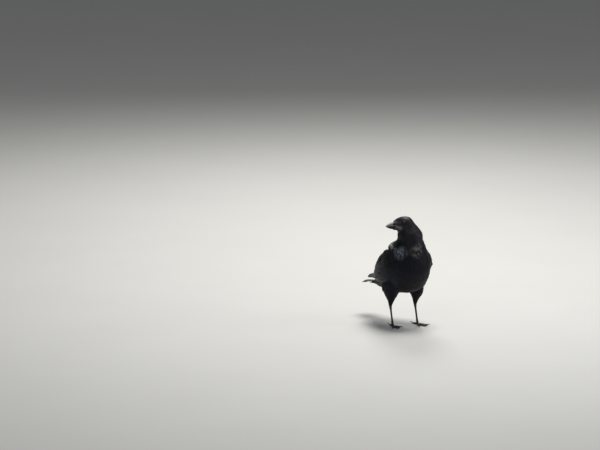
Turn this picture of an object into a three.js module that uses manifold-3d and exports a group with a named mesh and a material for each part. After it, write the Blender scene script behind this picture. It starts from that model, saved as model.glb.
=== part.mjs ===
// A carrion crow standing on the ground, life-size, with its head turned far to its right.
// Millimetres, +Z up. The bird's body faces -Y and its left side is +X. The solids give the outline of
// the plumage; each bare part (bill, eye, shank, toe, claw) has its own real surface.
import * as THREE from "three";
import { mergeVertices } from "three/addons/utils/BufferGeometryUtils.js";
import Module from "manifold-3d";

const wasm = await Module();
wasm.setup();

// ---- driving dimensions ----
const GAP = 0.3; // clearance between neighbouring solids
const GROUND_CLEARANCE = 0.25; // a claw point rides this far above the floor
const HEAD_TURN = 112; // degrees from the body's heading, towards the bird's right
const EYE_LEVEL = [-21.3, -26.9, 321]; // midpoint between the eyes
const EYE_RADIUS = 6.4;
const EYE_OFFSET = 15; // eyeball centre from the head's middle plane
const STANCE_HALF = 39; // each foot's distance from the middle plane
const FOOT_Y = { left: -17, right: -1 }; // where each shank meets its toes
const SHANK_LENGTH = 55;
const TOE_RADIUS = 3.3;

const SIDES = [
  { name: "left", sign: 1 },
  { name: "right", sign: -1 },
];

// ---- finishes ----
const plumage = new THREE.MeshStandardMaterial({ color: 0x101116, roughness: 0.55, metalness: 0 });
const flightFeather = new THREE.MeshStandardMaterial({ color: 0x14141b, roughness: 0.42, metalness: 0 });
const horn = new THREE.MeshStandardMaterial({ color: 0x2c2e33, roughness: 0.3, metalness: 0 });
const eyeDark = new THREE.MeshStandardMaterial({ color: 0x120b08, roughness: 0.06, metalness: 0 });
const legScale = new THREE.MeshStandardMaterial({ color: 0x17171a, roughness: 0.45, metalness: 0 });

// ---- small vector and angle helpers ----
const radians = (degrees) => (degrees * Math.PI) / 180;
const vec = (p) => new THREE.Vector3(...p);
const headingAt = (turn) => new THREE.Vector3(-Math.sin(radians(turn)), -Math.cos(radians(turn)), 0);
const leftOf = (turn) => new THREE.Vector3(Math.cos(radians(turn)), -Math.sin(radians(turn)), 0);

// A section plane's left, dorsal and forward directions, from its heading and its climb in degrees.
function frameAt({ turn = 0, pitch = 0, roll = 0 }) {
  const heading = headingAt(turn);
  const up = new THREE.Vector3(0, 0, 1);
  const climb = radians(pitch);
  const forward = heading.clone().multiplyScalar(Math.cos(climb)).addScaledVector(up, Math.sin(climb));
  const dorsal = heading.clone().multiplyScalar(-Math.sin(climb)).addScaledVector(up, Math.cos(climb));
  const left = leftOf(turn);
  left.applyAxisAngle(forward, radians(roll));
  dorsal.applyAxisAngle(forward, radians(roll));
  return { left, dorsal, forward };
}

// ---- stations and lofts ----
// A station is { at, turn, pitch, roll, side, back, front, square, phase }: an oval section round the point
// at, side wide to left and right, back tall on the dorsal side and front tall on the ventral side. Its first
// point lies phase degrees round from the left side, which keeps a loft whose heading turns from wringing.
const STATION_KEYS = ["turn", "pitch", "roll", "side", "back", "front", "square", "phase"];
const STATION_DEFAULTS = { turn: 0, pitch: 0, roll: 0, square: 2, phase: 0 };

function catmull(a, b, c, d, t) {
  const slopeB = (c - a) / 2;
  const slopeC = (d - b) / 2;
  const t2 = t * t;
  const t3 = t2 * t;
  return (2 * t3 - 3 * t2 + 1) * b + (t3 - 2 * t2 + t) * slopeB + (3 * t2 - 2 * t3) * c + (t3 - t2) * slopeC;
}

// The station at a place along a list, where whole numbers are the listed stations.
function stationAt(stations, place) {
  const last = stations.length - 1;
  const i = Math.min(Math.floor(place), last - 1);
  const t = place - i;
  const [a, b, c, d] = [i - 1, i, i + 1, i + 2].map((k) => stations[Math.min(Math.max(k, 0), last)]);
  const blend = (read) => catmull(read(a), read(b), read(c), read(d), t);
  const made = { at: [0, 1, 2].map((axis) => blend((s) => s.at[axis])) };
  for (const key of STATION_KEYS) made[key] = blend((s) => s[key] ?? STATION_DEFAULTS[key]);
  return made;
}

function ringOf(station, segments, grow) {
  const { left, dorsal } = frameAt(station);
  const power = 2 / station.square;
  const bulge = (v) => Math.sign(v) * Math.abs(v) ** power;
  const ring = [];
  for (let i = 0; i < segments; i++) {
    const angle = (i / segments) * 2 * Math.PI + radians(station.phase);
    const tall = Math.sin(angle) > 0 ? station.back : station.front;
    ring.push(
      vec(station.at)
        .addScaledVector(left, bulge(Math.cos(angle)) * (station.side + grow))
        .addScaledVector(dorsal, bulge(Math.sin(angle)) * (tall + grow)),
    );
  }
  return ring;
}

// A closed skin over rings of equal count, with a fan at each end.
function loftRings(rings) {
  const count = rings[0].length;
  const points = rings.flat();
  const faces = [];
  for (let r = 0; r + 1 < rings.length; r++) {
    for (let i = 0; i < count; i++) {
      const a = r * count + i;
      const b = r * count + ((i + 1) % count);
      faces.push(a, b, b + count, a, b + count, a + count);
    }
  }
  for (const [ring, flip] of [[0, true], [rings.length - 1, false]]) {
    const centre = new THREE.Vector3();
    rings[ring].forEach((p) => centre.addScaledVector(p, 1 / count));
    points.push(centre);
    for (let i = 0; i < count; i++) {
      const a = ring * count + i;
      const b = ring * count + ((i + 1) % count);
      faces.push(...(flip ? [points.length - 1, b, a] : [points.length - 1, a, b]));
    }
  }
  return solidOf(points, faces);
}

function loft(stations, { from = 0, to = stations.length - 1, steps = 3, segments = 20, grow = 0 } = {}) {
  const rings = [];
  const count = Math.max(1, Math.round((to - from) * steps));
  for (let i = 0; i <= count; i++) {
    rings.push(ringOf(stationAt(stations, from + ((to - from) * i) / count), segments, grow));
  }
  return loftRings(rings);
}

// ---- solids ----
function solidOf(points, faces) {
  const flat = new Float32Array(points.flatMap((p) => [p.x, p.y, p.z]));
  const made = new wasm.Manifold(
    new wasm.Mesh({ numProp: 3, vertProperties: flat, triVerts: new Uint32Array(faces) }),
  );
  if (made.volume() > 0) return made;
  const turned = [];
  for (let i = 0; i < faces.length; i += 3) turned.push(faces[i], faces[i + 2], faces[i + 1]);
  return new wasm.Manifold(
    new wasm.Mesh({ numProp: 3, vertProperties: flat, triVerts: new Uint32Array(turned) }),
  );
}

function solidOfGeometry(geometry) {
  const bare = geometry.clone();
  bare.deleteAttribute("normal");
  bare.deleteAttribute("uv");
  const merged = mergeVertices(bare, 1e-4);
  const position = merged.getAttribute("position");
  const points = [];
  for (let i = 0; i < position.count; i++) points.push(new THREE.Vector3().fromBufferAttribute(position, i));
  return solidOf(points, [...merged.index.array]);
}

const cutBy = (solid, cutters) => cutters.reduce((rest, cutter) => rest.subtract(cutter), solid);

// The largest piece of a solid, so that a cut leaves no loose sliver behind.
function mainPieceOf(solid) {
  return solid.decompose().reduce((best, piece) => (piece.volume() > best.volume() ? piece : best));
}

const bird = new THREE.Group();

function addNode(name, solid, material) {
  const mesh = mainPieceOf(solid).getMesh();
  const geometry = new THREE.BufferGeometry();
  geometry.setAttribute("position", new THREE.BufferAttribute(mesh.vertProperties.slice(), 3));
  geometry.setIndex([...mesh.triVerts]);
  const node = new THREE.Mesh(geometry, material);
  node.name = name;
  bird.add(node);
}

// ---- the body, from the tail's root up the neck to the face ----
// The head's sections fan round a pivot under the throat. Each row is the fan's angle in degrees from
// the level plane behind the neck, the distance out to the nape, crown or brow, the distance in to the
// throat or chin, and the half-width.
const PIVOT_AHEAD = 25.5;
const PIVOT_BELOW = 36;
const HEAD_FAN = [
  [0, 85, 10, 37],
  [15, 74.8, 11, 31.5],
  [30, 69, 12, 26.5],
  [45, 69.5, 13, 22],
  [60, 62.5, 13.5, 19],
  [75, 52, 13, 15],
  [88, 43.6, 12, 10.6],
];
const ABOVE_PIVOT = new THREE.Vector3(0, 0, -PIVOT_BELOW);
const pivot = vec(EYE_LEVEL).addScaledVector(headingAt(HEAD_TURN), PIVOT_AHEAD).add(ABOVE_PIVOT);

function headStation([angle, outer, inner, side]) {
  const pitch = 90 - angle;
  const { dorsal } = frameAt({ turn: HEAD_TURN, pitch });
  const at = pivot.clone().addScaledVector(dorsal, (outer + inner) / 2).toArray();
  return { at, turn: HEAD_TURN, pitch, side, back: (outer - inner) / 2, front: (outer - inner) / 2 };
}

const BODY = [
  { at: [0, 140, 110], pitch: 11, side: 14, back: 3.6, front: 3.6 },
  { at: [0, 116, 113], pitch: 14, side: 26, back: 13, front: 11 },
  { at: [0, 90, 122], pitch: 20, side: 39, back: 27, front: 24 },
  { at: [0, 56, 140], pitch: 26, side: 53, back: 43, front: 46 },
  { at: [0, 18, 162], pitch: 30, side: 61, back: 58, front: 69, square: 2.15 },
  { at: [0, -18, 181], pitch: 34, side: 68, back: 66, front: 77, square: 2.2 },
  { at: [-2, -35, 211], turn: 4, pitch: 50, side: 65, back: 61, front: 66, square: 2.25 },
  { at: [-8, -34.3, 240], turn: 16, pitch: 68, side: 58, back: 49, front: 48, square: 2.1 },
  { at: [-1, -34.7, 264], turn: 64, pitch: 82, side: 39.5, back: 37.5, front: 36.5 },
  ...HEAD_FAN.map(headStation),
].map((station) => ({ ...station, phase: station.turn ?? 0 }));
const NECK_STARTS = 6.6;
const HEAD_STARTS = 9;
const BODY_SEGMENTS = 26;
const SEAM = 0.012; // places between two caps, which leaves about GAP between them

const BODY_PARTS = {
  trunk: [0, NECK_STARTS - SEAM],
  neck: [NECK_STARTS, HEAD_STARTS - SEAM],
  head: [HEAD_STARTS, BODY.length - 1],
};

function bodyPart(name, grow) {
  const [from, to] = BODY_PARTS[name];
  return loft(BODY, { from, to, steps: 2, segments: BODY_SEGMENTS, grow });
}

const bodyRoom = Object.keys(BODY_PARTS).map((name) => bodyPart(name, GAP));

// ---- bill: a strong upper half that just overhangs the lower one ----
// Each row: distance ahead of the eyes, culmen, mouth line and lower edge above the eyes' level, half-width.
const BILL = [
  [10, 4.6, -12, -22.5, 8.8],
  [22.5, 4.2, -11.8, -21.8, 7.8],
  [32.5, 2, -12, -20.2, 6.2],
  [40.5, -1.6, -12.2, -18.2, 4.6],
  [46.8, -5.4, -12.5, -15.6, 2.9],
  [50.8, -9.2, -13, -13.6, 1.1],
];
const BILL_TIP = [53, -13.4]; // the hooked point of the upper half
const LOWER_TIP = { ahead: 49.8, top: -12.8, bottom: -13.9, side: 0.5 };

function billStation(ahead, top, bottom, side, square) {
  const middle = (top + bottom) / 2;
  const tall = (top - bottom) / 2;
  const at = vec(EYE_LEVEL).addScaledVector(headingAt(HEAD_TURN), ahead);
  at.z += middle;
  return { at: at.toArray(), turn: HEAD_TURN, side, back: tall, front: tall, square };
}

function billHalf(half, grow) {
  const rows =
    half === "upper"
      ? BILL.map(([ahead, culmen, mouth, , side]) => billStation(ahead, culmen, mouth + GAP / 2, side, 2.3))
      : BILL.slice(0, -1).map(([ahead, , mouth, lower, side]) =>
          billStation(ahead, mouth - GAP / 2, lower, side * 0.9, 2.3),
        );
  if (half === "upper") rows.push(billStation(BILL_TIP[0], BILL_TIP[1] + 0.9, BILL_TIP[1], 0.35, 2));
  else rows.push(billStation(LOWER_TIP.ahead, LOWER_TIP.top, LOWER_TIP.bottom, LOWER_TIP.side, 2));
  return loft(rows, { steps: 2, segments: 14, grow });
}

const billUpper = billHalf("upper", 0);
const billLower = billHalf("lower", 0);
addNode("bill_upper", billUpper, horn);
addNode("bill_lower", cutBy(billLower, [billHalf("upper", GAP / 2)]), horn);

// ---- eyes ----
function eyeball(sign, radius) {
  const centre = vec(EYE_LEVEL).addScaledVector(leftOf(HEAD_TURN), sign * EYE_OFFSET);
  const ball = new THREE.SphereGeometry(radius, 14, 9);
  return solidOfGeometry(ball.translate(centre.x, centre.y, centre.z));
}

for (const { name, sign } of SIDES) addNode(`eye_${name}`, eyeball(sign, EYE_RADIUS), eyeDark);

// ---- trunk, neck and head ----
const sockets = SIDES.map(({ sign }) => eyeball(sign, EYE_RADIUS + GAP));
const billRoom = [billHalf("upper", GAP), billHalf("lower", GAP)];
addNode("trunk", bodyPart("trunk", 0), plumage);
addNode("neck", bodyPart("neck", 0), plumage);
addNode("head", cutBy(bodyPart("head", 0), [...sockets, ...billRoom]), plumage);

// ---- tail: twelve feathers stacked in a low roof, rounded at the end ----
const TAIL = [
  { at: [0, 62, 123], pitch: 12, side: 17, back: 7, front: 6, square: 2.2 },
  { at: [0, 100, 117.5], pitch: 11, side: 24, back: 6, front: 5, square: 2.4 },
  { at: [0, 145, 109.5], pitch: 10, side: 28, back: 4.2, front: 2.6, square: 2.6 },
  { at: [0, 180, 103.5], pitch: 9, side: 28, back: 3, front: 1.6, square: 2.6 },
  { at: [0, 197, 100.8], pitch: 8.5, side: 22, back: 2.2, front: 1, square: 2.4 },
  { at: [0, 205, 99.6], pitch: 8.5, side: 10, back: 1.4, front: 0.6, square: 2.2 },
];
const tailSolid = (grow) => loft(TAIL, { steps: 2, segments: 16, grow });
addNode("tail", cutBy(tailSolid(0), bodyRoom), flightFeather);

// ---- wings: the folded arm with its coverts, and the long primaries that reach along the tail ----
function wingStations(sign) {
  const rows = [
    { at: [45, -50, 213], turn: 24, pitch: 50, roll: 4, side: 15, back: 30, front: 22 },
    { at: [56, -28, 204], turn: 10, pitch: 40, roll: 8, side: 20, back: 44, front: 38 },
    { at: [56, 6, 183], turn: 0, pitch: 30, roll: 11, side: 20, back: 48, front: 46 },
    { at: [51, 46, 161], turn: -12, pitch: 24, roll: 20, side: 18, back: 40, front: 34 },
    { at: [36, 84, 144], turn: -18, pitch: 20, roll: 28, side: 10, back: 26, front: 15 },
    { at: [26, 124, 131], turn: -13, pitch: 16, roll: 32, side: 5.4, back: 14, front: 8 },
    { at: [19, 153, 124], turn: -9, pitch: 12, roll: 32, side: 2.8, back: 8, front: 6 },
    { at: [15.5, 173, 120], turn: -6, pitch: 10, roll: 32, side: 1.2, back: 2.5, front: 2.5 },
  ];
  return rows.map(({ at: [x, y, z], turn, roll, ...rest }) => ({
    ...rest,
    at: [sign * x, y, z],
    turn: sign * turn,
    roll: sign * roll,
  }));
}
const PRIMARIES_START = 4.4;

const wingArm = (sign, grow) =>
  loft(wingStations(sign), { to: PRIMARIES_START - SEAM, steps: 2, segments: 18, grow });

for (const { name, sign } of SIDES) {
  const middle = solidOfGeometry(new THREE.BoxGeometry(200, 500, 400).translate(-sign * (100 - GAP), 0, 200));
  const clear = [...bodyRoom, tailSolid(GAP), middle];
  const primaries = loft(wingStations(sign), { from: PRIMARIES_START, steps: 2, segments: 16 });
  addNode(`wing_${name}`, cutBy(wingArm(sign, 0), [...clear, primaries]), plumage);
  addNode(`primaries_${name}`, cutBy(primaries, clear), flightFeather);
}

// ---- legs ----
const SHANK_TOP_Z = 60;
const SHANK_FOOT_Z = 6.5;
const heelBehind = Math.sqrt(SHANK_LENGTH ** 2 - (SHANK_TOP_Z - SHANK_FOOT_Z) ** 2);

function footOf({ name, sign }) {
  return new THREE.Vector3(sign * STANCE_HALF, FOOT_Y[name], 0);
}

function thigh(side, grow) {
  const foot = footOf(side);
  const heelY = foot.y + heelBehind;
  const stations = [
    { at: [side.sign * 30, 4, 170], pitch: -84, side: 26, back: 24, front: 26 },
    { at: [side.sign * 40, 0, 140], pitch: -84, side: 31.5, back: 28, front: 34 },
    { at: [side.sign * 41, 0, 115], pitch: -82, side: 27, back: 25, front: 32 },
    { at: [side.sign * 40, heelY - 8, 95], pitch: -80, side: 18, back: 19, front: 20 },
    { at: [foot.x, heelY - 3.5, 78], pitch: -82, side: 9, back: 10.5, front: 10.5 },
    { at: [foot.x, heelY - 0.5, 66], pitch: -85, side: 5.8, back: 6.4, front: 6 },
    { at: [foot.x, heelY + 0.5, SHANK_TOP_Z + 1], pitch: -88, side: 4.5, back: 4.9, front: 4.7 },
  ];
  return loft(stations, { steps: 2, segments: 16, grow });
}

function shank(side, grow) {
  const foot = footOf(side);
  const lean = (Math.atan2(heelBehind, SHANK_TOP_Z - SHANK_FOOT_Z) * 180) / Math.PI;
  const along = (share) => [
    foot.x,
    foot.y + heelBehind * share,
    SHANK_FOOT_Z + (SHANK_TOP_Z - SHANK_FOOT_Z) * share,
  ];
  const pitch = -90 + lean;
  const stations = [
    { at: along(1), pitch, side: 3.9, back: 4.7, front: 4.6, square: 2.3 },
    { at: along(0.93), pitch, side: 3.7, back: 4.4, front: 4.4, square: 2.4 },
    { at: along(0.78), pitch, side: 2.5, back: 3.2, front: 3.3, square: 2.6 },
    { at: along(0.3), pitch, side: 2.4, back: 3, front: 3, square: 2.6 },
    { at: along(0.1), pitch, side: 3.3, back: 3.6, front: 3.7, square: 2.4 },
    { at: along(-0.02), pitch, side: 3.4, back: 3.7, front: 3.8, square: 2.3 },
  ];
  return loft(stations, { steps: 2, segments: 10, grow });
}

// Each toe: its bearing from straight ahead, its length in life, the number of its pads and its claw.
const TOES = [
  { name: "inner", bearing: -27, length: 25, pads: 2, claw: 13 },
  { name: "middle", bearing: 0, length: 35, pads: 3, claw: 14 },
  { name: "outer", bearing: 25, length: 28, pads: 3, claw: 12 },
  { name: "hind", bearing: 180, length: 18, pads: 1, claw: 16 },
];
const FOOT_SPLAY = 7; // each foot turns out from the heading
const TOE_STARTS = 3.2; // ahead of the shank's middle
const PAD_SINK = 0.5; // how far a pad's round would pass the floor before its flat is cut

function toeBearing(side, toe) {
  return -side.sign * (FOOT_SPLAY + toe.bearing);
}

function toeStations(side, toe) {
  const foot = footOf(side);
  const heading = headingAt(toeBearing(side, toe));
  const stations = [];
  const steps = toe.pads * 2;
  for (let i = 0; i <= steps; i++) {
    const share = i / steps;
    const padded = 0.5 - 0.5 * Math.cos(share * toe.pads * 2 * Math.PI);
    const radius = TOE_RADIUS * (1 - 0.3 * share);
    const centre = radius - PAD_SINK + 0.6 * (1 - padded);
    const at = foot.clone().addScaledVector(heading, TOE_STARTS + toe.length * share);
    at.z = centre;
    stations.push({
      at: at.toArray(),
      turn: toeBearing(side, toe),
      side: radius * (0.86 + 0.14 * padded),
      back: radius * (0.95 + 0.08 * padded),
      front: radius * (0.9 + 0.1 * padded),
    });
  }
  return stations;
}

function clawStations(side, toe) {
  const tip = toeStations(side, toe).at(-1);
  const heading = headingAt(toeBearing(side, toe));
  const drop = tip.at[2] - GROUND_CLEARANCE;
  const rows = [0, 0.3, 0.6, 0.85, 1];
  return rows.map((share) => {
    const radius = tip.back * (0.78 - 0.7 * share ** 1.3);
    const at = vec(tip.at).addScaledVector(heading, 0.4 + toe.claw * Math.sin(share * 1.25) * 0.95);
    const arch = 2.6 * Math.sin(share * Math.PI);
    at.z = tip.at[2] - (drop - radius) * share ** 1.6 + arch;
    const pitch = 32 - 92 * share;
    return { at: at.toArray(), turn: toeBearing(side, toe), pitch, side: radius * 0.72, back: radius, front: radius };
  });
}

const floorBlock = solidOfGeometry(new THREE.BoxGeometry(600, 900, 40).translate(0, 0, -20));

for (const side of SIDES) {
  const shankSolid = shank(side, 0);
  const placed = [shank(side, GAP)];
  addNode(`thigh_${side.name}`, cutBy(thigh(side, 0), [...bodyRoom, wingArm(side.sign, GAP), ...placed]), plumage);
  for (const toe of TOES) {
    const stations = toeStations(side, toe);
    const solid = cutBy(loft(stations, { steps: 1, segments: 8 }), [...placed, floorBlock]);
    addNode(`toe_${toe.name}_${side.name}`, solid, legScale);
    const claw = loft(clawStations(side, toe), { steps: 1, segments: 7 });
    const toeRoom = loft(stations, { steps: 1, segments: 8, grow: GAP });
    addNode(`claw_${toe.name}_${side.name}`, cutBy(claw, [toeRoom, floorBlock]), horn);
    placed.push(toeRoom);
  }
  addNode(`shank_${side.name}`, cutBy(shankSolid, [floorBlock]), legScale);
}

// ---- the frame: the origin is on the floor, under the middle of the bird's box ----
const box = new THREE.Box3().setFromObject(bird);
const centre = box.getCenter(new THREE.Vector3());
bird.position.set(-centre.x, -centre.y, -box.min.z);

export default bird;
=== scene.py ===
"""Fine surface of a standing crow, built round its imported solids.

One skin takes the place of the flesh, and feathers are laid over it as joined meshes of
separate vanes. The bill, eyes, legs and claws are fine meshes of their own.
"""

import math

import bpy
import numpy as np
from bpy.props import FloatProperty, FloatVectorProperty, IntProperty, PointerProperty
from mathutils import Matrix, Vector
from mathutils.bvhtree import BVHTree
from mathutils.kdtree import KDTree


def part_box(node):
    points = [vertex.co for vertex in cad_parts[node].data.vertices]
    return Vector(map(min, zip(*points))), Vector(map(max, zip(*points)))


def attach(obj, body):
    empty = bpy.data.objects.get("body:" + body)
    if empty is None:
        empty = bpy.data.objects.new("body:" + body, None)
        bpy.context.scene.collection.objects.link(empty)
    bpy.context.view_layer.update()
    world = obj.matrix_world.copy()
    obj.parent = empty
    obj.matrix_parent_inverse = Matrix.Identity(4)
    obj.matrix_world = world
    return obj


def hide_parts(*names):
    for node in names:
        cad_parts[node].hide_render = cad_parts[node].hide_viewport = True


bl_info = {
    "name": "Standing Crow",
    "version": (1, 0, 0),
    "blender": (4, 5, 0),
    "location": "3D View > Sidebar > Crow",
    "description": "Builds the skin, feathers, bill, eyes and legs of a life-size standing crow",
    "category": "Add Mesh",
}

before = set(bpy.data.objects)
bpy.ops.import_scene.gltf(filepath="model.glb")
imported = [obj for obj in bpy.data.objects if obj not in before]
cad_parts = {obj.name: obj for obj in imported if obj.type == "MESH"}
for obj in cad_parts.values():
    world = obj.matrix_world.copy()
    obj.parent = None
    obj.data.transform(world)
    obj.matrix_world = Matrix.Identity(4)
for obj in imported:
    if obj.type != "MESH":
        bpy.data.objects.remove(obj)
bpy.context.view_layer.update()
MM = 0.001
FLESH = ("trunk", "neck", "head", "wing_left", "wing_right", "thigh_left", "thigh_right")
GROUND = ("tail", "shank_left", "shank_right", "eye_left", "eye_right")
SIDES = ("left", "right")
TOES = ("inner", "middle", "outer", "hind")

# Half-width of a body feather in mm, against mm from the middle of the eyes and mm up the
# thigh, and the share of it that is left, against mm from an eye.
WIDTH_FROM_HEAD = ((14, 24, 38, 58, 85, 120), (1.15, 1.7, 2.6, 4.0, 5.8, 7.0))
WIDTH_UP_THIGH = ((0, 14, 40, 60), (1.5, 2.6, 5.0, 6.5))
SHARE_FROM_EYE = ((7, 14), (0.5, 1.0))

# How far the face and the neck reach from the middle of the eyes, and where the shoulder starts.
FACE_REACH, NECK_REACH, SHOULDER_START = 0.034, 0.085, 0.068
BARE_BILL = 0.0265  # from the edge of the face to the tip of the bill
BRISTLES = 1050
BILL_CELL, FOOT_CELL, CLAW_CELL = 0.00045, 0.00048, 0.0003  # edge of one face of each mesh
MAP_PATCH = 0.003  # how large one feather is on the skin's unwrap
SHANK_PLATE, SHANK_BACK_PLATE, TOE_PLATE, TOE_PAD = 0.0046, 0.0021, 0.0024, 0.0075  # pitches
EYE_OPENING = 0.0049  # radius round the way an eye looks that no feather crosses

# The two breast patches are painted highlight, partly the pale feather bases of a moulting breast.
CHEST_HIGHLIGHTS = (  # place and colour of the two ragged greyer patches of the breast
    ((-0.0466, -0.1153, 0.2356), (0.15, 0.16, 0.195)),
    ((-0.0038, -0.1374, 0.2379), (0.17, 0.155, 0.15)),
)
# The face patches are painted highlight over the gape, cheeks and lores, partly the paler bare
# skin of a moulting face.
FACE_HIGHLIGHTS = (  # ahead of the eyes' middle, out, up, reach and colour of each greyer patch
    (0.008, 0.0160, -0.0145, 0.0090, (0.15, 0.152, 0.156)),
    (0.012, 0.0145, -0.0132, 0.0085, (0.16, 0.163, 0.167)),
    (0.017, 0.0125, -0.0118, 0.0080, (0.17, 0.173, 0.177)),
    (0.023, 0.0095, -0.0100, 0.0070, (0.22, 0.224, 0.228)),
    (0.0245, 0.0050, 0.0025, 0.0070, (0.20, 0.206, 0.21)),
    (0.019, 0.0090, 0.0015, 0.0080, (0.13, 0.138, 0.144)),
    (0.012, 0.0135, 0.0015, 0.0080, (0.055, 0.066, 0.073)),
)
FRAMED_SPOT = (0.0, -0.0594, 0.0)  # the point between the feet that the camera counts from
SECONDARIES, PRIMARIES, TERTIALS, TAIL_PAIRS = 9, 8, 6, 6
OVER, UNDER = 1, -1  # the two faces of the tail
TAIL_COVERTS = (  # face of the tail, roots behind its front end, length and half-width, in mm
    (OVER, -8, 46, 9.5),
    (OVER, 4, 44, 9.5),
    (UNDER, -14, 52, 10),
    (UNDER, 2, 56, 10),
    (OVER, -20, 40, 9.0),
    (UNDER, -30, 46, 9.5),
)
COVERT_ROWS = {  # number, (shares, levels) of roots and tips, half-widths, rise of roots and tips
    "lower": (6, ((0.24, 0.18), (-0.9, -0.6)), ((0.46, 0.42), (-0.8, -0.55)),
              (6.5, 7.5), 1.4, 2.4),
    "greater": (11, ((0.16, 0.14), (-0.85, 0.85)), ((0.36, 0.33), (-0.78, 0.80)),
                (8.5, 9.5), 1.3, 2.9),
    "median": (11, ((0.09, 0.08), (-0.85, 0.85)), ((0.22, 0.20), (-0.80, 0.82)),
               (7.0, 8.0), 1.7, 3.3),
}
LID_ROWS = (  # degrees out from the edge of the lids, and radius in eye radii
    (-2, 0.985), (0, 1.010), (1.2, 1.028), (2.6, 1.026), (3.8, 1.008), (5.2, 1.018),
    (6.6, 1.006), (8.2, 1.012), (10, 1.0),
)
LID_SKIRT = ((17, 0.0002), (27, 0.0008))  # degrees out, and depth under the skin
SENSOR = 36.0
SKY, SKY_LIGHT = (0.86, 0.88, 0.9, 1), 0.175
WARM, COOL = (1, 0.985, 0.96), (0.95, 0.97, 1)
LAMPS = (  # name, place from the middle of the bird, width, power and colour
    ("top", (0.5, 0.2, 2.6), 1.3, 66, WARM),
    ("front", (-2.6, -1.9, 1.7), 1.4, 6, COOL),
    ("fill", (2.4, -2.0, 1.4), 1.4, 19, COOL),
    ("rear", (1.3, 2.3, 2.0), 1.0, 42, WARM),
)


# ---- plain geometry -----------------------------------------------------------------


def unit(vectors):
    """The vectors at length 1."""
    vectors = np.asarray(vectors, float)
    return vectors / np.maximum(np.linalg.norm(vectors, axis=-1, keepdims=True), 1e-12)


def flatten(vectors, normals):
    """The part of the vectors that lies along the surface, at length 1."""
    return unit(vectors - (vectors * normals).sum(-1, keepdims=True) * normals)


def ramp(value, low, high):
    """A soft step from 0 at low to 1 at high."""
    t = np.clip((np.asarray(value, float) - low) / (high - low), 0, 1)
    return t * t * (3 - 2 * t)


def node_arrays(name):
    """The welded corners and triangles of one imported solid."""
    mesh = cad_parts[name].data
    mesh.calc_loop_triangles()
    corners = np.empty(len(mesh.vertices) * 3)
    mesh.vertices.foreach_get("co", corners)
    triangles = np.empty(len(mesh.loop_triangles) * 3, np.int32)
    mesh.loop_triangles.foreach_get("vertices", triangles)
    keys = np.round(corners.reshape(-1, 3) / 2e-6).astype(np.int64)
    _, first, back = np.unique(keys, axis=0, return_index=True, return_inverse=True)
    triangles = back.reshape(-1)[triangles].reshape(-1, 3)
    whole = (triangles[:, 0] != triangles[:, 1]) & (triangles[:, 1] != triangles[:, 2])
    whole &= triangles[:, 0] != triangles[:, 2]
    return corners.reshape(-1, 3)[first], triangles[whole]


def middle_of(name):
    """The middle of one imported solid's box."""
    return np.mean([*map(np.array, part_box(name))], axis=0)


def corner_normals(points, triangles):
    """Smooth normals at the corners of a triangle mesh."""
    a, b, c = points[triangles[:, 0]], points[triangles[:, 1]], points[triangles[:, 2]]
    faces = np.cross(b - a, c - a)
    total = np.zeros_like(points)
    for column in range(3):
        np.add.at(total, triangles[:, column], faces)
    return unit(total)


def spread(values, edges, passes, share=0.5):
    """Values at the corners, evened out along the edges."""
    values = np.array(values, float)
    count = np.bincount(edges.ravel(), minlength=len(values)).astype(float)
    shape = (-1,) + (1,) * (values.ndim - 1)
    count = np.maximum(count, 1).reshape(shape)
    for _ in range(passes):
        total = np.zeros_like(values)
        np.add.at(total, edges[:, 0], values[edges[:, 1]])
        np.add.at(total, edges[:, 1], values[edges[:, 0]])
        values += share * (total / count - values)
    return values


def edges_of(quads):
    """Each edge of the faces once."""
    pairs = np.concatenate([quads[:, [i, (i + 1) % 4]] for i in range(4)])
    return np.unique(np.sort(pairs, axis=1), axis=0)


def new_mesh(name, points, faces):
    """A mesh of faces with the same number of sides."""
    mesh = bpy.data.meshes.new(name)
    mesh.vertices.add(len(points))
    mesh.vertices.foreach_set("co", np.asarray(points, np.float32).ravel())
    mesh.loops.add(faces.size)
    mesh.loops.foreach_set("vertex_index", np.asarray(faces, np.int32).ravel())
    mesh.polygons.add(len(faces))
    starts = np.arange(0, faces.size, faces.shape[1], dtype=np.int32)
    mesh.polygons.foreach_set("loop_start", starts)
    mesh.polygons.foreach_set("use_smooth", np.ones(len(faces), bool))
    mesh.update(calc_edges=True)
    return mesh


def place(name, mesh, material, replaced=(), body="root"):
    """The mesh as a piece that rides on the bird."""
    piece = bpy.data.objects.new(name, mesh)
    bpy.context.scene.collection.objects.link(piece)
    if material:
        mesh.materials.append(material)
    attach(piece, body)
    if replaced:
        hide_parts(*replaced)
    return piece


def even_mesh(points, triangles, cell):
    """Corners and quads of one even closed mesh round the triangles."""
    rough = bpy.data.objects.new("rough", new_mesh("rough", points, triangles))
    bpy.context.scene.collection.objects.link(rough)
    modifier = rough.modifiers.new("even", "REMESH")
    modifier.mode = "VOXEL"
    modifier.voxel_size = cell
    graph = bpy.context.evaluated_depsgraph_get()
    shape = rough.evaluated_get(graph)
    mesh = shape.to_mesh()
    corners = np.empty(len(mesh.vertices) * 3)
    mesh.vertices.foreach_get("co", corners)
    quads = np.empty(len(mesh.loops), np.int32)
    mesh.loops.foreach_get("vertex_index", quads)
    shape.to_mesh_clear()
    bpy.data.objects.remove(rough)
    return corners.reshape(-1, 3), quads.reshape(-1, 4)


def merged_solids(names, cell, grow):
    """The named solids, grown until they touch, as one even mesh."""
    points, triangles, used = [], [], 0
    for name in names:
        corners, faces = node_arrays(name)
        points.append(corners + corner_normals(corners, faces) * grow)
        triangles.append(faces + used)
        used += len(corners)
    return even_mesh(np.concatenate(points), np.concatenate(triangles), cell)


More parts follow.
